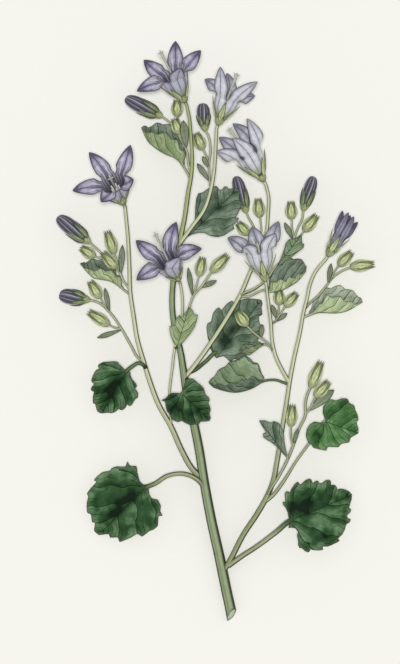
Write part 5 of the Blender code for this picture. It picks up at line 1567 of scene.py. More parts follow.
# The spots at the end of some leaves are painted shade and painted light on the blade
OPEN_LEAVES = {
    "lower_left": OpenLeaf(
        ((-4.8, -62.4, 6.5), (-6.8, -60.2, 8.3), (-8.6, -59, 9.3), (-13.2, -57.6, 11), (-18.8, -58.4, 11),
         (-24.4, -61.8, 9.6), (-27.6, -63.1, 8.6)),
        ((-26.8, -61.9), (-28.8, -61.9), (-30.1, -60.6), (-31, -57.5), (-31.5, -54.5), (-33.4, -54.5),
         (-34.2, -54.2), (-35.1, -52.7), (-35.9, -54.7), (-39.6, -54.7), (-41.6, -55.5), (-41.8, -56.2),
         (-45.2, -57), (-47.7, -59.1), (-48.6, -60.3), (-47.5, -60.8), (-49.8, -63.4), (-51.4, -65.7),
         (-50.9, -66.7), (-51.5, -69.5), (-51.3, -73.3), (-49.8, -74.1), (-49.3, -77.2), (-48.3, -77.4),
         (-48.5, -80.7), (-46.7, -82.3), (-42.6, -82), (-42.1, -83.3), (-39, -83.3), (-38.3, -85.1),
         (-35.5, -84.1), (-33.7, -83.3), (-31.1, -81.8), (-29.3, -82.9), (-26.3, -80.7), (-24.5, -80),
         (-23, -78.7), (-22.5, -74.6), (-21, -74.5), (-21.9, -72.6), (-21.7, -70.5), (-23, -68),
         (-25.3, -67.5), (-26.3, -65.9), (-26.5, -63.9)),
        radii=(1.05, 0.95), tip=25, heights=(8.6, 7.2, 2.2), lift=-1.8, navel=0.3, finish=Finish.DEEP_LEAF,
        stalk_finish=Finish.LEAF_STALK,
        painted_shading=((0.18, -0.12, 0.2, -0.8), (0.4, -0.12, 0.18, -0.9), (0.58, -0.08, 0.14, -0.6),
               (0.31, 0.6, 0.2, -0.5), (0.35, 0.1, 0.12, 0.5), (0.6, 0.08, 0.12, 0.5))),
    "lower_right": OpenLeaf(
        ((5.4, -94.6, 2.9), (11.2, -90.4, 5.5), (16.4, -87, 8), (24.4, -81, 10), (30.4, -76.2, 10)),
        ((30.1, -76.4), (29.4, -74.9), (29.2, -73.3), (28.4, -71.4), (27.3, -70), (27.1, -68.8),
         (27.7, -69.1), (28.2, -68.8), (28.1, -67.7), (28, -65.5), (28.8, -64.5), (29.5, -64.9), (30.1, -65),
         (30.6, -63.8), (32, -61.7), (33.3, -60.8), (34, -62), (34.6, -61.8), (36, -60.4), (37.6, -59.6),
         (38.6, -59.9), (39, -60.8), (39.2, -61.5), (40.2, -60.6), (41.3, -60.4), (42, -61.5), (42.7, -61.4),
         (44.7, -60.1), (46.1, -60.1), (46.6, -61), (46.6, -62.1), (48, -62.1), (49, -63.2), (49.1, -64.1),
         (50, -63.6), (52.2, -63.9), (54.2, -65), (55, -66), (54.8, -68.3), (54.2, -70), (53.9, -71.4),
         (54.6, -71.9), (54.5, -73), (53.1, -74.4), (53.2, -75.4), (54.5, -75.9), (54.2, -77), (52.7, -78),
         (52.1, -80.1), (51.1, -82), (49.4, -83.7), (50, -84.4), (49.4, -85), (47.7, -85.8), (45.5, -86.8),
         (43, -86.9), (43.4, -88.1), (41.9, -88.4), (39.6, -88.3), (38.2, -87.9), (38.1, -88.6),
         (37.4, -89.2), (36, -88.6), (34.7, -87.4), (34, -87.5), (33.3, -86.2), (33.4, -84.8), (33, -83.1),
         (32.9, -82.3), (33.3, -80.9), (32.3, -79.6), (30.6, -79.2), (29.5, -79.4)),
        radii=(1.1, 1.1), tip=37, heights=(10, 9.2, 3.6), lift=-2.2, navel=0.4, finish=Finish.DEEP_LEAF,
        stalk_finish=Finish.LEAF_STALK,
        painted_shading=((0.12, 0.2, 0.2, -0.8), (0.3, 0.2, 0.2, -0.9), (0.5, 0.12, 0.15, -0.8),
               (0.52, -0.28, 0.3, 0.5), (0.71, -0.4, 0.15, -0.5), (0.46, -0.9, 0.25, -0.6))),
    "right_heart": OpenLeaf(
        ((19.6, -69.2, 7.6), (23.6, -65.8, 8.3), (26.8, -61.6, 9.4), (33.2, -51.6, 9.9), (37.5, -45.8, 9.9),
         (40.8, -41.6, 10.4), (44.4, -36.6, 11.6)),
        ((44.2, -36.7), (43.2, -33.1), (43.4, -30.7), (46.3, -27.7), (48.5, -28.2), (50.9, -27.3),
         (53.1, -27.5), (53.9, -29.2), (55.8, -30.2), (56.3, -32.1), (57.2, -34), (57.5, -36), (56.8, -37),
         (57.5, -39.4), (57.5, -41.3), (54.3, -43.3), (53.9, -44.9), (50.5, -45.7), (49.5, -46.9),
         (45.1, -46.9), (44.6, -48.3), (42.2, -47.9), (39.3, -47.1), (38.6, -45.9), (37.4, -45.2),
         (36.4, -42.3), (36.9, -39.6), (38.1, -37.7), (40, -36.7), (42.2, -37.2)),
        radii=(0.85, 0.6), tip=14, heights=(12.6, 12.8, 9.5), lift=-0.8, navel=0.35, veins=2.3,
        finish=Finish.HEART_LEAF,
        painted_shading=((0.43, 0.75, 0.3, -0.7), (0.43, -0.25, 0.3, 0.4), (0.1, 0.3, 0.2, -0.5),
               (-0.1, -0.5, 0.25, -0.5))),
    "left_heart": OpenLeaf(
        ((-27.8, -15.2, 10.3), (-29, -13.8, 12.2), (-30.6, -13.3, 12.8), (-33.2, -14.7, 12.6),
         (-35.2, -16.3, 12)),
        ((-35.4, -16.5), (-37, -14.9), (-38.4, -13.5), (-39.1, -12.7), (-40.9, -12.5), (-43, -12.7),
         (-44.8, -12.8), (-46.7, -13.9), (-46.9, -14.7), (-46.4, -15.4), (-47.6, -16), (-48.5, -17.2),
         (-49.6, -20.2), (-49.4, -20.9), (-48.5, -21.6), (-49.4, -22.7), (-49.8, -23.9), (-49.4, -24.4),
         (-48.6, -24.8), (-49, -26.8), (-48.9, -29.4), (-48, -29.8), (-47.8, -31), (-47.1, -32.8),
         (-45.5, -33.5), (-43, -33.2), (-41.6, -33.4), (-40.2, -33), (-38.4, -31.7), (-37.9, -32.1),
         (-37, -32.1), (-35.9, -31.2), (-35.1, -29.8), (-34.5, -30.5), (-33.6, -30.3), (-32.2, -28.2),
         (-31.7, -27.5), (-31, -27.3), (-30.8, -25.2), (-31.5, -24.1), (-32, -23.4), (-31.3, -22.7),
         (-31.5, -21.6), (-32.6, -20.4), (-33.3, -19.5), (-33.8, -18.1), (-34, -16.7)),
        radii=(0.75, 0.85), tip=24, heights=(12, 9, 5), lift=-1.2, finish=Finish.DEEP_LEAF,
        stalk_finish=Finish.DEEP_STALK,
        painted_shading=((0.25, -0.1, 0.2, -0.7), (0.47, -0.18, 0.2, -1.0), (0.7, -0.12, 0.18, -0.9),
               (0.5, 0.25, 0.2, 0.2), (0.4, -0.75, 0.25, 0.3))),
    "middle_large": OpenLeaf(
        ((-12, -17.4, 12.5), (-8.8, -16.4, 11), (-4, -12.8, 8), (0.7, -8.9, 7)),
        ((0.5, -11.3), (-1.9, -7.4), (-2.4, -4.5), (-2.8, -3.5), (-3.2, -0.6), (-3.4, 1.1), (-2.9, 2.8),
         (-1.6, 3.3), (-1.3, 4.5), (-0.8, 6.7), (0.5, 8.5), (1.5, 9.1), (2.7, 8.1), (3.5, 9.1), (5.1, 10.8),
         (6.8, 11.8), (7.8, 10.8), (9, 10.9), (10.2, 12), (13.1, 12.7), (16, 12.5), (18.6, 12.1),
         (19.1, 10.5), (18.7, 9.1), (19, 6.2), (17.7, 5.7), (18.1, 2.3), (19.5, 2.1), (19, -1.1),
         (17.5, -3.5), (16.5, -5.7), (15.1, -7.4), (13.1, -9.8), (11.2, -10.8), (10.2, -11.7), (7.3, -11.7),
         (6.6, -12.5), (5.4, -12.2), (4.9, -11.5), (3.4, -10.5), (2, -10.8)),
        radii=(0.75, 0.85), tip=21, heights=(7, 7.4, 4.8), lift=-1.2, navel=0.42,
        stalk_finish=Finish.DEEP_STALK,
        painted_shading=((0.15, 0.1, 0.18, -0.5), (0.33, 0.18, 0.18, -0.6), (0.5, 0.12, 0.15, -0.45),
               (0.4, -0.4, 0.3, 0.25))),
    "upper_large": OpenLeaf(
        ((-13.8, 35.6, 14.2), (-11.8, 37.2, 12.8), (-10, 39.6, 12)),
        ((-11.1, 37.2), (-9.2, 40.9), (-8.2, 43.5), (-7.9, 48.9), (-7.5, 52.7), (-6.7, 54.7), (-4.8, 55.2),
         (-3.6, 56.1), (-2.4, 56.9), (-1.9, 56.6), (-0.7, 57.3), (0.5, 57.8), (1.8, 56.4), (2.5, 56.1),
         (3.9, 57.6), (5.1, 57.3), (5.4, 56.6), (7.3, 56.9), (9.3, 56.6), (10, 55.2), (9.7, 52.7),
         (10.7, 50.3), (10, 48.4), (9.3, 46.7), (8.3, 45), (9.5, 45), (9.3, 43.8), (7.3, 42.1), (7.8, 40.6),
         (5.9, 39.4), (3.9, 38), (1, 37.2), (-1.9, 37.7), (-4.3, 38.9), (-6.7, 38.9), (-9.2, 38.2)),
        radii=(0.65, 0.55), tip=18, heights=(12, 13, 10.4), lift=-1.2, navel=0.4,
        painted_shading=((0.3, 0.1, 0.14, -0.55), (0.5, 0.08, 0.12, -0.5), (0.7, 0.05, 0.1, -0.4),
               (0.5, -0.3, 0.3, 0.25))),
    "centre_heart": OpenLeaf(
        ((-12.2, -19.2, 12.7), (-10.8, -20.8, 15.2), (-11.2, -23.4, 16.4), (-13.3, -25.8, 17)),
        ((-13.1, -25.5), (-12.9, -23.6), (-12.2, -21.8), (-11.8, -19.9), (-10.6, -19.3), (-8.8, -19.5),
         (-7.6, -20.4), (-6.2, -21.6), (-5.1, -22.5), (-4.2, -24.1), (-3.7, -25.9), (-2.6, -26.8),
         (-2.1, -27.8), (-2.6, -29.4), (-2.1, -30.3), (-1.7, -31.9), (-2.1, -33.5), (-1.7, -35.1),
         (-2.1, -36.3), (-3.9, -36.7), (-5.8, -36.7), (-6.5, -37.8), (-8.1, -37.8), (-9.9, -38.1),
         (-11.5, -37.4), (-12.7, -36.7), (-13.6, -36.3), (-14.7, -36.9), (-15.9, -36.5), (-17.5, -35.6),
         (-18, -34), (-19.1, -32.8), (-19.6, -31.4), (-19.8, -30.1), (-20, -28.7), (-21.6, -28.1),
         (-19.8, -27.3), (-18.6, -25.9), (-17.3, -25.2), (-14.5, -25.2)),
        radii=(0.7, 0.6), tip=18, heights=(17, 18.2, 16), lift=-1.4, navel=0.35, finish=Finish.DEEP_LEAF,
        stalk_finish=Finish.DEEP_STALK,
        painted_shading=((0.03, -0.6, 0.45, -0.9), (0.25, -0.25, 0.22, 0.7), (0.8, 0.05, 0.18, -0.7),
               (0.62, -0.55, 0.25, -0.6), (0.3, 0.5, 0.3, 0.2))),
    "bract": OpenLeaf(
        ((-15.9, -7.2, 16.2), (-15.2, -6.9, 17.6), (-14.4, -6.7, 18.8)),
        ((-15, -6.4), (-16.3, -5.7), (-17.7, -2.5), (-18.2, 1.6), (-17.3, 1.6), (-16.3, 1.9), (-15.7, 4.4),
         (-14.1, 6), (-13.4, 5.3), (-11.8, 7.1), (-10.4, 9.2), (-9.2, 8.3), (-8.1, 6.2), (-6.9, 6.2),
         (-7.2, 3.9), (-8.1, 1.2), (-9.9, -1.6), (-12.7, -5), (-14.1, -6.2)),
        radii=(0.5, 0.45), tip=10, heights=(19, 20.4, 20.6), lift=-0.4, finish=Finish.PALE_LEAF),
    "inner_upright": OpenLeaf(
        ((10.2, 14, 13.3), (12.4, 15.2, 14.6), (16, 16.8, 15), (19.6, 19.4, 15.2), (22, 22, 15.3),
         (23.6, 24.6, 15.5)),
        ((24.8, 25.6), (26.2, 28.5), (27.7, 32.4), (28.2, 34.6), (29.6, 36.3), (32, 36.7), (34.7, 38.2),
         (35, 34.8), (35.7, 34.3), (35.4, 32.9), (33.5, 31.4), (31.1, 29.5), (28.2, 27.5), (26.2, 26.1)),
        radii=(0.5, 0.45), tip=6, heights=(15.5, 16.2, 15.4), lift=1.4, navel=0.5, finish=Finish.MOSS_LEAF),
    "right_lobed": OpenLeaf(
        ((29.1, -51.5, 14.7), (29.0, -50.4, 14.8)),
        ((29, -51.2), (28.7, -49.1), (27.9, -45.2), (27.7, -42.3), (27, -39.4), (25.5, -37.2), (23.6, -36.5),
         (22.4, -37), (19.9, -36.2), (17.7, -36.2), (18.2, -37.4), (19.4, -39.4), (20.4, -40.8),
         (19.2, -41.6), (19.4, -43), (22.8, -45.2), (24.8, -46.9)),
        radii=(0.45, 0.42), tip=9, heights=(14.8, 16, 15.4), lift=0.0, navel=0.55, veins=2.4),
}


@dataclass
class FoldedLeaf(Leaf):
    """Leaf folded along its keel: the near half stands up, the far half lies back."""

    keel: Line
    near: Line
    far: Line
    rise: tuple[float, float]
    blade_from: int = 1
    radii: Point = (0.5, 0.4)
    rests: bool = False
    teeth: int = 4
    depth: float = 0.45

    def margins(self, middle: Array, shares: Array, opened: Array) -> tuple[list[Array], list[Array]]:
        """Toothed margins of the near and the far half, each raised by its distance from the keel.

        Args:
            middle: Smooth line of the keel.
            shares: Shares along it.
            opened: How far the halves stand open there, 0 to 1.

        Returns:
            Points of the two margins, and the widths of the two halves.
        """
        keel = np.array(self.keel[self.blade_from:])
        push = tooth_push(shares * (self.teeth + 1) - 0.5) * self.depth * TOOTH_SIZE * opened
        margins, widths = [], []
        for margin, rise, spread in zip((self.near, self.far), self.rise, (1, -1)):
            ends = np.vstack([keel[:1, :2], np.array(margin), keel[-1:, :2]])
            line = hermite(ends, shares * chord_lengths(ends)[-1])
            away = line - middle[:, :2]
            reach = np.linalg.norm(away, axis=1)
            line = line + away / np.maximum(reach, 0.5)[:, None] * push[:, None]
            level = middle[:, 2] + rise * reach + spread * FOLD_OPENING * opened
            margins.append(np.column_stack([line, level]))
            widths.append(np.hypot(reach, rise * reach))
        return margins, widths

    def far_half(self, middle: Array, far: Array, shares: Array, opened: Array, t: Array) -> Array:
        """Points from the keel to the far margin, which lies on the table where the leaf rests.

        Args:
            middle: Smooth line of the keel.
            far: Far margin.
            shares: Shares along the keel.
            opened: How far the halves stand open there, 0 to 1.
            t: Shares from keel to margin.

        Returns:
            Grid of points, along the keel and across.
        """
        share_out = 0.5
        if self.rests:
            gap = np.maximum(np.abs(shares - 0.55) - 0.15, 0.0)
            low = 0.27 + 22 * gap ** 2
            far[:, 2] = middle[:, 2] + (low - middle[:, 2]) * opened
            share_out = 0.6
        bend = far * share_out + middle * (1 - share_out)
        half = (middle[:, None] * (2 * t - 1) * (t - 1) + bend[:, None] * 4 * t * (1 - t)
                + far[:, None] * t * (2 * t - 1))
        if self.rests:
            drop = np.clip(1 - t / 0.62, 0, 1) ** 1.3
            half[:, :, 2] = far[:, 2:] + (middle[:, 2:] - far[:, 2:]) * drop[:, 0]
        return half

    def blade(self) -> Patch:
        """Rows along the keel, each bent from the near margin over the keel to the far one.

        Returns:
            Closed sheet with the values that the leaf finishes read.
        """
        shares = evenly(FOLD_ROWS)
        opened = np.minimum(step_up(shares, 0, 0.12), step_up(1 - shares, 0, 0.12))
        keel = np.array(self.keel[self.blade_from:])
        middle = hermite(keel, shares * chord_lengths(keel)[-1])
        (near, far), widths = self.margins(middle, shares, opened)
        t = evenly(FOLD_COLUMNS)[1:, None]
        near_half = near[:, None] * t + middle[:, None] * (1 - t)
        far_half = self.far_half(middle, far, shares, opened, t)
        grid = np.concatenate([near_half[:, ::-1], middle[:, None], far_half], axis=1)
        across = np.concatenate([-t[::-1, 0], [0], t[:, 0]])
        width = np.where(across < 0, widths[0][:, None], widths[1][:, None])
        length = float(chord_lengths(middle)[-1])
        y = (width * across).reshape(-1)
        x = np.repeat(chord_lengths(middle), len(across))
        values = vein_values(x, y, length, FOLD_VEINS)
        rim = (width * (1 - np.abs(across))).reshape(-1)
        ends = np.minimum(x, length - x)
        values |= {"rim": np.minimum(rim, ends + 0.3), "tone": np.zeros(len(x))}
        patch = Patch(grid.reshape(-1, 3), grid_triangles(FOLD_ROWS, len(across)), values)
        patch = patch.faced(UPWARD * (y > 0)[:, None])
        thickness = BLADE_THICKNESS * np.clip(np.minimum(rim, ends) / THIN_RIM, 0, 1) ** 0.5
        thickness[np.abs(np.tile(across, FOLD_ROWS)) > 0.999] = 0
        return patch.thickened(thickness)

    def stem(self) -> Patch:
        """Stalk that runs on below the keel.

        Returns:
            Closed patch of the stalk.
        """
        line = np.array(self.keel[:-1])
        line[self.blade_from + 1:, 2] -= FOLD_RIB_DEPTH
        return stalk(line, (*self.radii, 0.25), 80)


FOLDED_LEAVES = {
    "left_folded": FoldedLeaf(
        ((-33.8, 14, 9.8), (-36.4, 16, 9), (-39.3, 18.3, 7.6), (-41.3, 19.5, 6.6), (-45.2, 20.4, 5.4),
         (-48.8, 21.1, 4.6), (-51, 23, 4), (-54.2, 26.7, 3.4)),
        ((-37.6, 19.6), (-40, 22.4), (-42.8, 23.8), (-45.6, 24.2), (-48.4, 24), (-50.8, 24.2),
         (-52.8, 25.8)),
        ((-38.8, 22), (-40.8, 25.6), (-43.2, 27.6), (-46, 28.5), (-48.6, 28.3), (-50.6, 27.8),
         (-52.8, 27.2)),
        rise=(0.9, 0.0), rests=True, finish=Finish.MIXED_LEAF),
    "middle_folded": FoldedLeaf(
        ((29.4, -21.8, 12.3), (27.2, -21, 11.6), (25, -20.2, 11), (20, -20.4, 10.5), (14.2, -23.4, 10),
         (8.7, -24.8, 9.5), (3.2, -24.1, 9), (-0.7, -22.8, 8.8), (-2.6, -20.9, 8.6)),
        ((18, -19.6), (14, -19.2), (11.4, -20.2), (8.9, -20.9), (5.5, -21.8), (1, -22), (-1.6, -21.4)),
        ((19.4, -18.2), (18.6, -16.6), (16, -12.8), (13.8, -11.4), (10, -11), (7.8, -12.4), (5, -13.6),
         (0.8, -17.2), (-1.4, -19.3)),
        blade_from=3, rise=(0.9, 0.0), radii=(0.6, 0.45), finish=Finish.MOSS_LEAF,
        stalk_finish=Finish.DEEP_STALK),
    "right_folded": FoldedLeaf(
        ((35.2, 5, 13.5), (37.6, 6, 13.6), (41.4, 7.2, 11.4), (44.2, 7.2, 9), (47.9, 7, 6.8),
         (50.6, 7.2, 5.6), (53.4, 8, 4.6), (56.1, 9.4, 3.8), (59.4, 11.2, 3)),
        ((39.2, 7.6), (41.2, 9.0), (44.8, 13.2), (49.2, 13.2), (52, 12), (55.6, 10.8), (57.8, 11)),
        ((38.4, 9), (40.4, 12), (42.4, 14.6), (44, 16.4), (46.4, 17.2), (51.6, 17.2), (54.4, 16), (56, 14.8),
         (58.4, 13.2)),
        rise=(0.8, 0.0), rests=True, finish=Finish.FRESH_LEAF),
    "inner_folded": FoldedLeaf(
        ((10, 13.4, 12.9), (14, 13.6, 12.9), (16.8, 15, 13.2), (19.6, 16, 13.6), (21.2, 15.5, 14),
         (23.6, 15.4, 14.2), (27.4, 16.4, 14.2), (30.3, 17.9, 14), (32.8, 19.4, 13.8), (36.4, 23.6, 13.5)),
        ((21.8, 17.6), (24.9, 19.8), (27.8, 20), (29.3, 20.6), (32.8, 21.7), (35, 23)),
        ((21.8, 19.6), (23.2, 23.6), (26.8, 26.8), (30, 28.6), (32.2, 28.8), (34.7, 27.6), (36.6, 26)),
        blade_from=4, rise=(0.6, -0.3), finish=Finish.MIXED_LEAF),
    "top_folded": FoldedLeaf(
        ((-9.9, 60.8, 14.8), (-12.4, 65.2, 12.6), (-14.2, 67.7, 11), (-16.6, 69.5, 9), (-19.5, 70.6, 7.4),
         (-24, 73.3, 5.6), (-26.6, 75.6, 5), (-28, 77.9, 4.6), (-29.6, 81.3, 4)),
        ((-11.9, 68.2), (-13, 71.6), (-14.2, 73.8), (-16, 76.1), (-18, 77.4), (-21.3, 79), (-23.4, 78.6),
         (-25.6, 79), (-28, 79.8)),
        ((-11.8, 70), (-12.6, 73.6), (-15, 78.6), (-17, 80.8), (-19.8, 82.8), (-23.1, 83), (-26, 81.8),
         (-28.4, 82)),
        rise=(0.7, 0.0), rests=True, finish=Finish.FOLDED_LEAF),
    "inner_small": FoldedLeaf(
        ((23, -6.8, 13.2), (21.2, -6.2, 13.6), (20, -5.8, 14), (18.4, -6.4, 14.2), (15.6, -8.5, 14),
         (13.6, -9.8, 13.8), (11.6, -9.3, 13.8), (9.7, -8.3, 13.8)),
        ((18.4, -5.6), (16.6, -6), (14, -7), (12, -7.8)),
        ((18.8, -5), (17, -4.8), (14.4, -5), (12, -5.6), (10.4, -7)), blade_from=2, rise=(0.6, -0.3),
        radii=(0.45, 0.4), teeth=3, depth=0.25, finish=Finish.FOLDED_LEAF),
}


# Sprays

# Bud: length of a violet bud's ovary, gap between it and the folded corolla, and how much wider a
# bracteole is than its half width says
BUD_FOOT = 2.9
BUD_GAP = 0.38
BRACT_WIDENING = 1.2


@dataclass
class Bud:
    """Closed bud from its foot to its tip, with its greatest radius."""

    base: Point
    tip: Point
    radius: float

    def frame(self) -> tuple[Axis, float]:
        """Axis of the bud and its length."""
        reach = np.array(self.tip) - np.array(self.base)
        return Axis(np.array(self.base), reach), float(np.linalg.norm(reach))

    def green(self) -> Parts:
        """Ribbed core clasped by five broad sepals whose tips stand apart.

        Returns:
            Each part with its finish.
        """
        line, length = self.frame()
        share = evenly(26)
        profile = np.interp(share, (0, 0.1, 0.25, 0.42, 0.6, 0.78, 0.92, 1.0),
                            (0.4, 0.66, 0.9, 0.95, 0.82, 0.52, 0.25, 0.05))
        core = line.spindle(share * length * 0.92, profile * self.radius, 0.04 * share, 40)
        route = ((0.1, 0.64), (0.25, 0.94), (0.42, 1.02), (0.62, 0.88), (0.82, 0.66), (1.0, 0.6))
        leaves = line.ring_of_leaves(0, np.array(route) * (length, self.radius), 34,
                                     self.radius * 0.58, 0.34, -0.34, 0.3, 1.15)
        return [(patch, Finish.SEPAL) for patch in (core, *leaves)]

    def calyx(self) -> Parts:
        """Ovary and five sepals that clasp a violet bud.

        Returns:
            Each part with its finish.
        """
        line, length = self.frame()
        share = evenly(14)
        ovary = line.spindle(share * BUD_FOOT, 0.6 + 1.1 * np.sin(share * 2.2), 0.05 * share)
        reach, clasp = 0.64 * length, self.radius + 0.3
        route = ((1.2, 1.2), (2.4, 1.9), (3.7, 0.84 * clasp), (0.5 * reach + 1.8, 1.02 * clasp),
                 (reach, 1.04 * clasp))
        leaves = line.ring_of_leaves(LOBE_TURN / 2, route, 30, 0.95, 0.35, -0.3)
        return [(ovary, Finish.SEPAL)] + [(leaf, Finish.DIM_SEPAL) for leaf in leaves]

    def corolla(self) -> Patch:
        """Unopened corolla: a spindle of five pleats with a light twist.

        Returns:
            Closed patch of the corolla.
        """
        line, length = self.frame()
        foot = BUD_FOOT + BUD_GAP
        share = evenly(44)
        knots = smooth_line(np.array(((0, 0.42), (0.16, 0.78), (0.42, 0.98), (0.66, 0.96),
                                      (0.88, 0.72), (0.97, 0.44), (1, 0.12))), 60)
        profile = np.interp(share, knots[:, 0], knots[:, 1]) * self.radius
        ribs = 0.04 + 0.07 * step_up(share, 0.1, 0.8)
        return line.spindle(foot + (length - foot) * share, profile, ribs, 60, 0.3)


@dataclass
class Spray:
    """Side spray: stalks, green buds, violet buds with their calyces, and bracteoles."""

    stalks: tuple[tuple[Line, float], ...]
    green: Shoots = ()
    violet: Shoots = ()
    bracts: Shoots = ()

    def bract(self, root: Point, tip: Point, half_width: float) -> Patch:
        """Narrow leaf from its root to its tip, bowed toward the viewer by a sine.

        Args:
            root: Where it begins.
            tip: Where it ends.
            half_width: Half its width, before it is widened.

        Returns:
            Closed patch of the bracteole.
        """
        shares = evenly(34)[:, None]
        line = np.array(root) + (np.array(tip) - np.array(root)) * shares
        line = line + UPWARD * 0.5 * np.sin(np.pi * shares)
        return slender_leaf(line, UPWARD, half_width * BRACT_WIDENING, 0.55, 0.3, blunt=2.4)

    def build(self, name: str) -> None:
        """Make the spray's piece and those of its violet buds.

        Args:
            name: The spray's name.
        """
        parts = [(stalk(route, (radius, radius * 0.95, radius * 0.92), 60), Finish.STALK)
                 for route, radius in self.stalks]
        buds = [Bud(*bud) for bud in self.violet]
        for bud in self.green:
            parts += Bud(*bud).green()
        for bud in buds:
            parts += bud.calyx()
        parts += [(self.bract(*bract), Finish.BRACT) for bract in self.bracts]
        Piece("sprig_" + name, "spray", parts).build("spray_" + name)
        for bud in buds:
            folded = Piece("folded_bud_" + name, "violet", [(bud.corolla(), Finish.VIOLET)])
            folded.build("violet_bud_" + name)


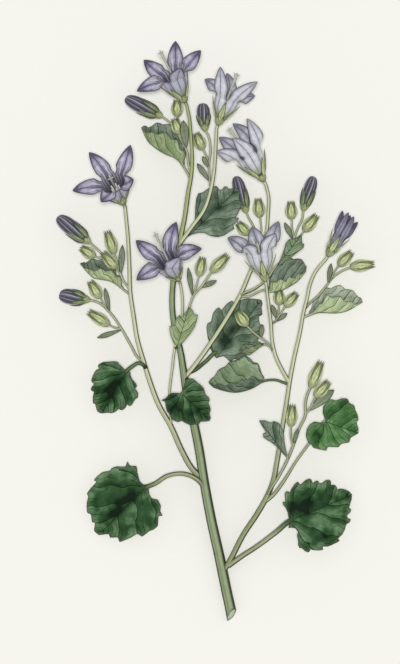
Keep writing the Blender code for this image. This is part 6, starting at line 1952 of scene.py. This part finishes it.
SPRAYS = {
    "top_left": Spray(
        ((((-9.5, 62.8, 15), (-10.6, 66.4, 14.5), (-11.1, 70.8, 13.5), (-12.2, 74, 13), (-13.2, 76.4, 13),
           (-14.4, 79, 13.2)), 0.5), (((-12, 73.2, 13.1), (-13.4, 79.6, 9.8), (-15.1, 86, 9.5)), 0.42),
         (((-11.6, 72.4, 13.2), (-14.4, 77.6, 11.6), (-17.6, 82.6, 11), (-21.2, 85.6, 10.2)), 0.45)),
        green=(((-14.2, 78.4, 13.2), (-16.5, 85.2, 12.6), 2.3),
               ((-15.1, 85.6, 9.5), (-15.2, 92.8, 9.5), 2.4)),
        violet=(((-21, 85.5, 10.2), (-36, 92.8, 9), 2.9),),
        bracts=(((-11.5, 72.8, 13.4), (-12.7, 84, 15.4), 1.5),)),
    "top_right": Spray(
        ((((-1.6, 56.8, 15.9), (-2.2, 60.8, 14.5), (-2.4, 66, 13.5), (-1.8, 72.4, 13.3), (-2.6, 77.6, 13),
           (-3.9, 80, 12.8)), 0.48), (((-2.3, 66, 13.5), (-3.6, 70, 12.5), (-5, 72.8, 12)), 0.42)),
        green=(((-4.9, 72.3, 12), (-7.8, 79.4, 12), 2.4),),
        violet=(((-3.9, 79.6, 12.8), (-5.2, 90.8, 12), 2.6),),
        bracts=(((-2.2, 59.6, 14.8), (-7.2, 66.8, 14.5), 1.0), ((-2.4, 64.8, 13.6), (-5, 69.6, 14.6), 0.9))),
    "left_upper": Spray(
        ((((-34.2, 16.4, 10.2), (-36.4, 19.2, 10.6), (-38.6, 23.6, 11), (-40.4, 25.4, 11.2),
           (-45.6, 30.8, 11.3), (-50.2, 35, 11)), 0.5),
         (((-38.6, 23.6, 11), (-39.2, 27.2, 12), (-40.4, 31, 12.5)), 0.42),
         (((-38, 22.4, 10.9), (-39.9, 25.2, 12.5)), 0.42),
         (((-44.4, 29.6, 11.2), (-46.4, 29, 10.4), (-48.5, 29.5, 10)), 0.42)),
        green=(((-40.3, 30.6, 12.5), (-43.4, 40.2, 13), 2.4),
               ((-39.6, 24.8, 12.4), (-45.2, 31.4, 13.9), 2.3),
               ((-48.1, 29.2, 10), (-54.2, 33.3, 9.5), 2.3)),
        violet=(((-49.9, 34.8, 11), (-63.2, 45.2, 9), 3.0),),
        bracts=(((-37.8, 22, 10.8), (-37, 34.2, 13.5), 1.1),)),
    "left_lower": Spray(
        ((((-28.2, -13.2, 9.9), (-30.8, -11.2, 9.7), (-33.6, -6.4, 9.2), (-37.3, 0.1, 8.8),
           (-41.8, 6.6, 8.3), (-46.4, 10.8, 7.8), (-50.2, 12.1, 7.5)), 0.55),
         (((-43.2, 7.8, 8.2), (-44.8, 10.8, 9), (-46.1, 13.2, 9.5)), 0.42),
         (((-37.6, 0.6, 8.8), (-40.4, 1, 9), (-42.8, 2.2, 9)), 0.42)),
        green=(((-46, 12.8, 9.5), (-50.4, 20, 10.5), 2.4), ((-42.4, 2, 9), (-51.2, 7.6, 8.5), 2.4)),
        violet=(((-49.9, 12, 7.5), (-62.5, 13.9, 7), 3.0),),
        bracts=(((-42.2, 7, 8.3), (-44.2, 17, 10), 0.9), ((-37.6, 0, 8.8), (-47.4, -3.2, 8), 0.9))),
    "centre": Spray(
        ((((-15.3, -5, 16.5), (-13.4, 0, 17.2), (-11.2, 6.4, 17.8), (-10, 10, 18), (-8.6, 13.8, 18),
           (-5.6, 17.2, 18.5), (-1.3, 23.5, 18.5)), 0.5),
         (((-8.6, 13.8, 18), (-7.4, 18, 17.5), (-6.3, 22, 17.5)), 0.42)),
        green=(((-1.6, 23.2, 18.5), (5.6, 30.4, 18.5), 2.4), ((-6.4, 21.6, 17.5), (-4.8, 29.6, 17.5), 2.3)),
        bracts=(((-8.9, 13.2, 18), (-10.8, 25.2, 18), 0.9), ((-6, 16.8, 18.4), (0.8, 19.8, 18), 0.9))),
    "middle": Spray(
        ((((18.8, 33.6, 10.2), (17.2, 37.6, 9), (15.4, 41.6, 7.5), (13.2, 45.6, 6.3), (12.6, 47.3, 6)),
          0.48), (((17.4, 37.2, 9.2), (15.2, 36.6, 7.5), (13, 38.6, 6.5)), 0.42),
         (((17.6, 36.8, 9.2), (18.5, 39.2, 8.8), (18.3, 43.2, 9.3), (18, 45.7, 10)), 0.42)),
        green=(((13.3, 38.2, 6.5), (8.8, 43.4, 6), 2.3), ((18, 45.2, 10), (17.2, 53.2, 10.5), 2.4)),
        violet=(((12.7, 46.9, 6), (8.2, 61.6, 5.5), 2.6),)),
    "right_inner": Spray(
        ((((10.4, 14.4, 12.7), (14, 15.4, 11), (19, 18.8, 9.8), (22.8, 23.2, 9), (28, 29.6, 8.6),
           (31.6, 36.4, 9), (33, 40.4, 9.5), (35, 44.8, 10), (35.4, 48.1, 10)), 0.5),
         (((31.6, 36.4, 9), (30.9, 40.8, 9.5), (30.7, 44.9, 10)), 0.42),
         (((31.4, 36, 8.9), (33.8, 37.4, 9.4), (35.9, 40, 10.2)), 0.42)),
        green=(((30.7, 44.4, 10), (30.4, 52, 10), 2.4), ((35.6, 39.6, 10.2), (41.2, 46.4, 10.8), 2.4)),
        violet=(((35.3, 47.7, 10), (39.4, 61.6, 10), 2.5),),
        bracts=(((31.4, 36, 9), (27.8, 43.2, 10.5), 0.9),)),
    "right_outer": Spray(
        ((((35.3, 7.6, 13.3), (37.6, 10.4, 11), (41.2, 13.6, 9), (44.4, 17.4, 8.3), (47.2, 21, 8.6),
           (50.4, 23.4, 9), (54.7, 25.3, 9.3)), 0.5),
         (((46.4, 20, 8.5), (47.8, 23.2, 10.5), (49.9, 26.2, 11.8)), 0.42)),
        green=(((54.2, 25.3, 9.3), (64.4, 26.4, 10), 2.4), ((49.6, 25.8, 11.7), (55.2, 31.6, 13), 2.3)),
        bracts=(((45.4, 18.4, 8.4), (46.6, 26.8, 10.5), 0.9),)),
    "inner_pair": Spray(
        ((((22.4, 2.8, 13.8), (24, 3.2, 12.6), (25, 5.6, 11.4), (25.8, 10.5, 10.3)), 0.45),
         (((24.6, 4.2, 12.2), (26.4, 6.8, 11.8), (28.3, 9.8, 11.6)), 0.42)),
        green=(((25.8, 10, 10.3), (25.6, 16.8, 10.2), 2.3), ((28, 9.4, 11.6), (33.2, 15.2, 10.6), 2.2)),
        bracts=(((24.8, 4.2, 12.2), (22.7, 10.2, 12.4), 0.9), ((24.6, 3.4, 12.4), (29, 6.8, 13.5), 0.8))),
    "inner_single": Spray(
        ((((23.1, -8.4, 13.1), (21.9, -6.4, 14.8), (20.4, -4.6, 15.8), (18.2, -3.2, 16.4), (14.4, 0, 17.3),
           (12.6, 1.9, 17.6)), 0.45),),
        green=(((12.8, 1.6, 17.5), (8.3, 8.1, 18), 2.4),),
        bracts=(((18.4, -3.4, 16.3), (18.9, 2.2, 17), 0.9),)),
    "right_lower": Spray(
        ((((20.8, -66.8, 8.2), (22.4, -63.6, 10.4), (25.2, -59.2, 11.9), (29.2, -51.6, 13.2),
           (31.6, -45.5, 14.8), (33.8, -39.2, 16), (36.2, -33.8, 17), (36.1, -30, 17), (36.8, -26.4, 17),
           (38.4, -22.5, 17)), 0.6), (((36.2, -33.8, 17), (37.8, -31.6, 17), (40.3, -26.4, 17)), 0.45),
         (((31.2, -46.4, 14.6), (30.4, -42.8, 15.4), (30.4, -38.1, 16)), 0.42)),
        green=(((38.2, -23, 17), (42.8, -12, 17), 2.4), ((40, -26.8, 17), (46, -20.2, 17), 2.4),
               ((30.4, -38.6, 16), (31, -29.4, 16.2), 2.3)),
        bracts=(((37.4, -32.4, 17), (47.8, -23.8, 15.6), 1.6), ((31.4, -46, 14.7), (33.2, -39.2, 18), 0.8))),
}


# Table, light and camera

@dataclass
class Studio:
    """Pale table, soft light from above and a camera that looks straight down."""

    frame_height: float = 265.6
    lens: float = 600.0
    sensor: float = 36.0
    aim: Point = (-6.65, -0.42, 18.0)
    table_size: float = 6.0
    room_light: float = 0.37
    lamp_energy: float = 2.06
    lamp_degrees: float = 7.0

    def table(self) -> None:
        """Plain square table at the level that the sprig lies on."""
        half = self.table_size / 2
        mesh = bpy.data.meshes.new("table")
        corners = [(-half, -half, 0.0), (half, -half, 0.0), (half, half, 0.0), (-half, half, 0.0)]
        mesh.from_pydata(corners, [], [(0, 1, 2, 3)])
        mesh.materials.append(Finish.TABLE.material())
        table = bpy.data.objects.new("table", mesh)
        bpy.context.scene.collection.objects.link(table)

    def light(self) -> None:
        """Bright surroundings, and a broad sun from above that hides the shadows below the sprig."""
        world = bpy.data.worlds.new("soft_room")
        world.use_nodes = True
        background = world.node_tree.nodes["Background"]
        background.inputs["Color"].default_value = (1.0, 1.0, 0.99, 1.0)
        background.inputs["Strength"].default_value = self.room_light
        bpy.context.scene.world = world
        lamp = bpy.data.lights.new("high_lamp", "SUN")
        lamp.energy = self.lamp_energy
        lamp.angle = np.radians(self.lamp_degrees)
        body = bpy.data.objects.new("high_lamp", lamp)
        body.location = (0.0, 0.0, 1.0)
        bpy.context.scene.collection.objects.link(body)

    def camera(self) -> None:
        """Long lens straight above, so that the sprig fills the frame as in the picture."""
        data = bpy.data.cameras.new("view")
        data.lens = self.lens
        data.sensor_width = self.sensor
        data.clip_end = 100.0
        body = bpy.data.objects.new("view", data)
        distance = self.lens * self.frame_height / self.sensor
        x, y, z = self.aim
        body.location = (x * MM, y * MM, (z + distance) * MM)
        bpy.context.scene.collection.objects.link(body)
        bpy.context.scene.camera = body
        bpy.context.scene.view_settings.view_transform = "Standard"

    def build(self) -> None:
        """Set the table, the light and the camera."""
        self.table()
        self.light()
        self.camera()


def main() -> None:
    """Build the sprig piece by piece."""
    logging.basicConfig(level=logging.INFO, format="%(name)s %(message)s")
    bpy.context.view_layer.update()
    STEM.build()
    for group in (OPEN_LEAVES, FOLDED_LEAVES, BLOOMS, SPRAYS):
        for name, part in group.items():
            part.build(name)
    Studio().build()


if __name__ == "__main__":
    main()
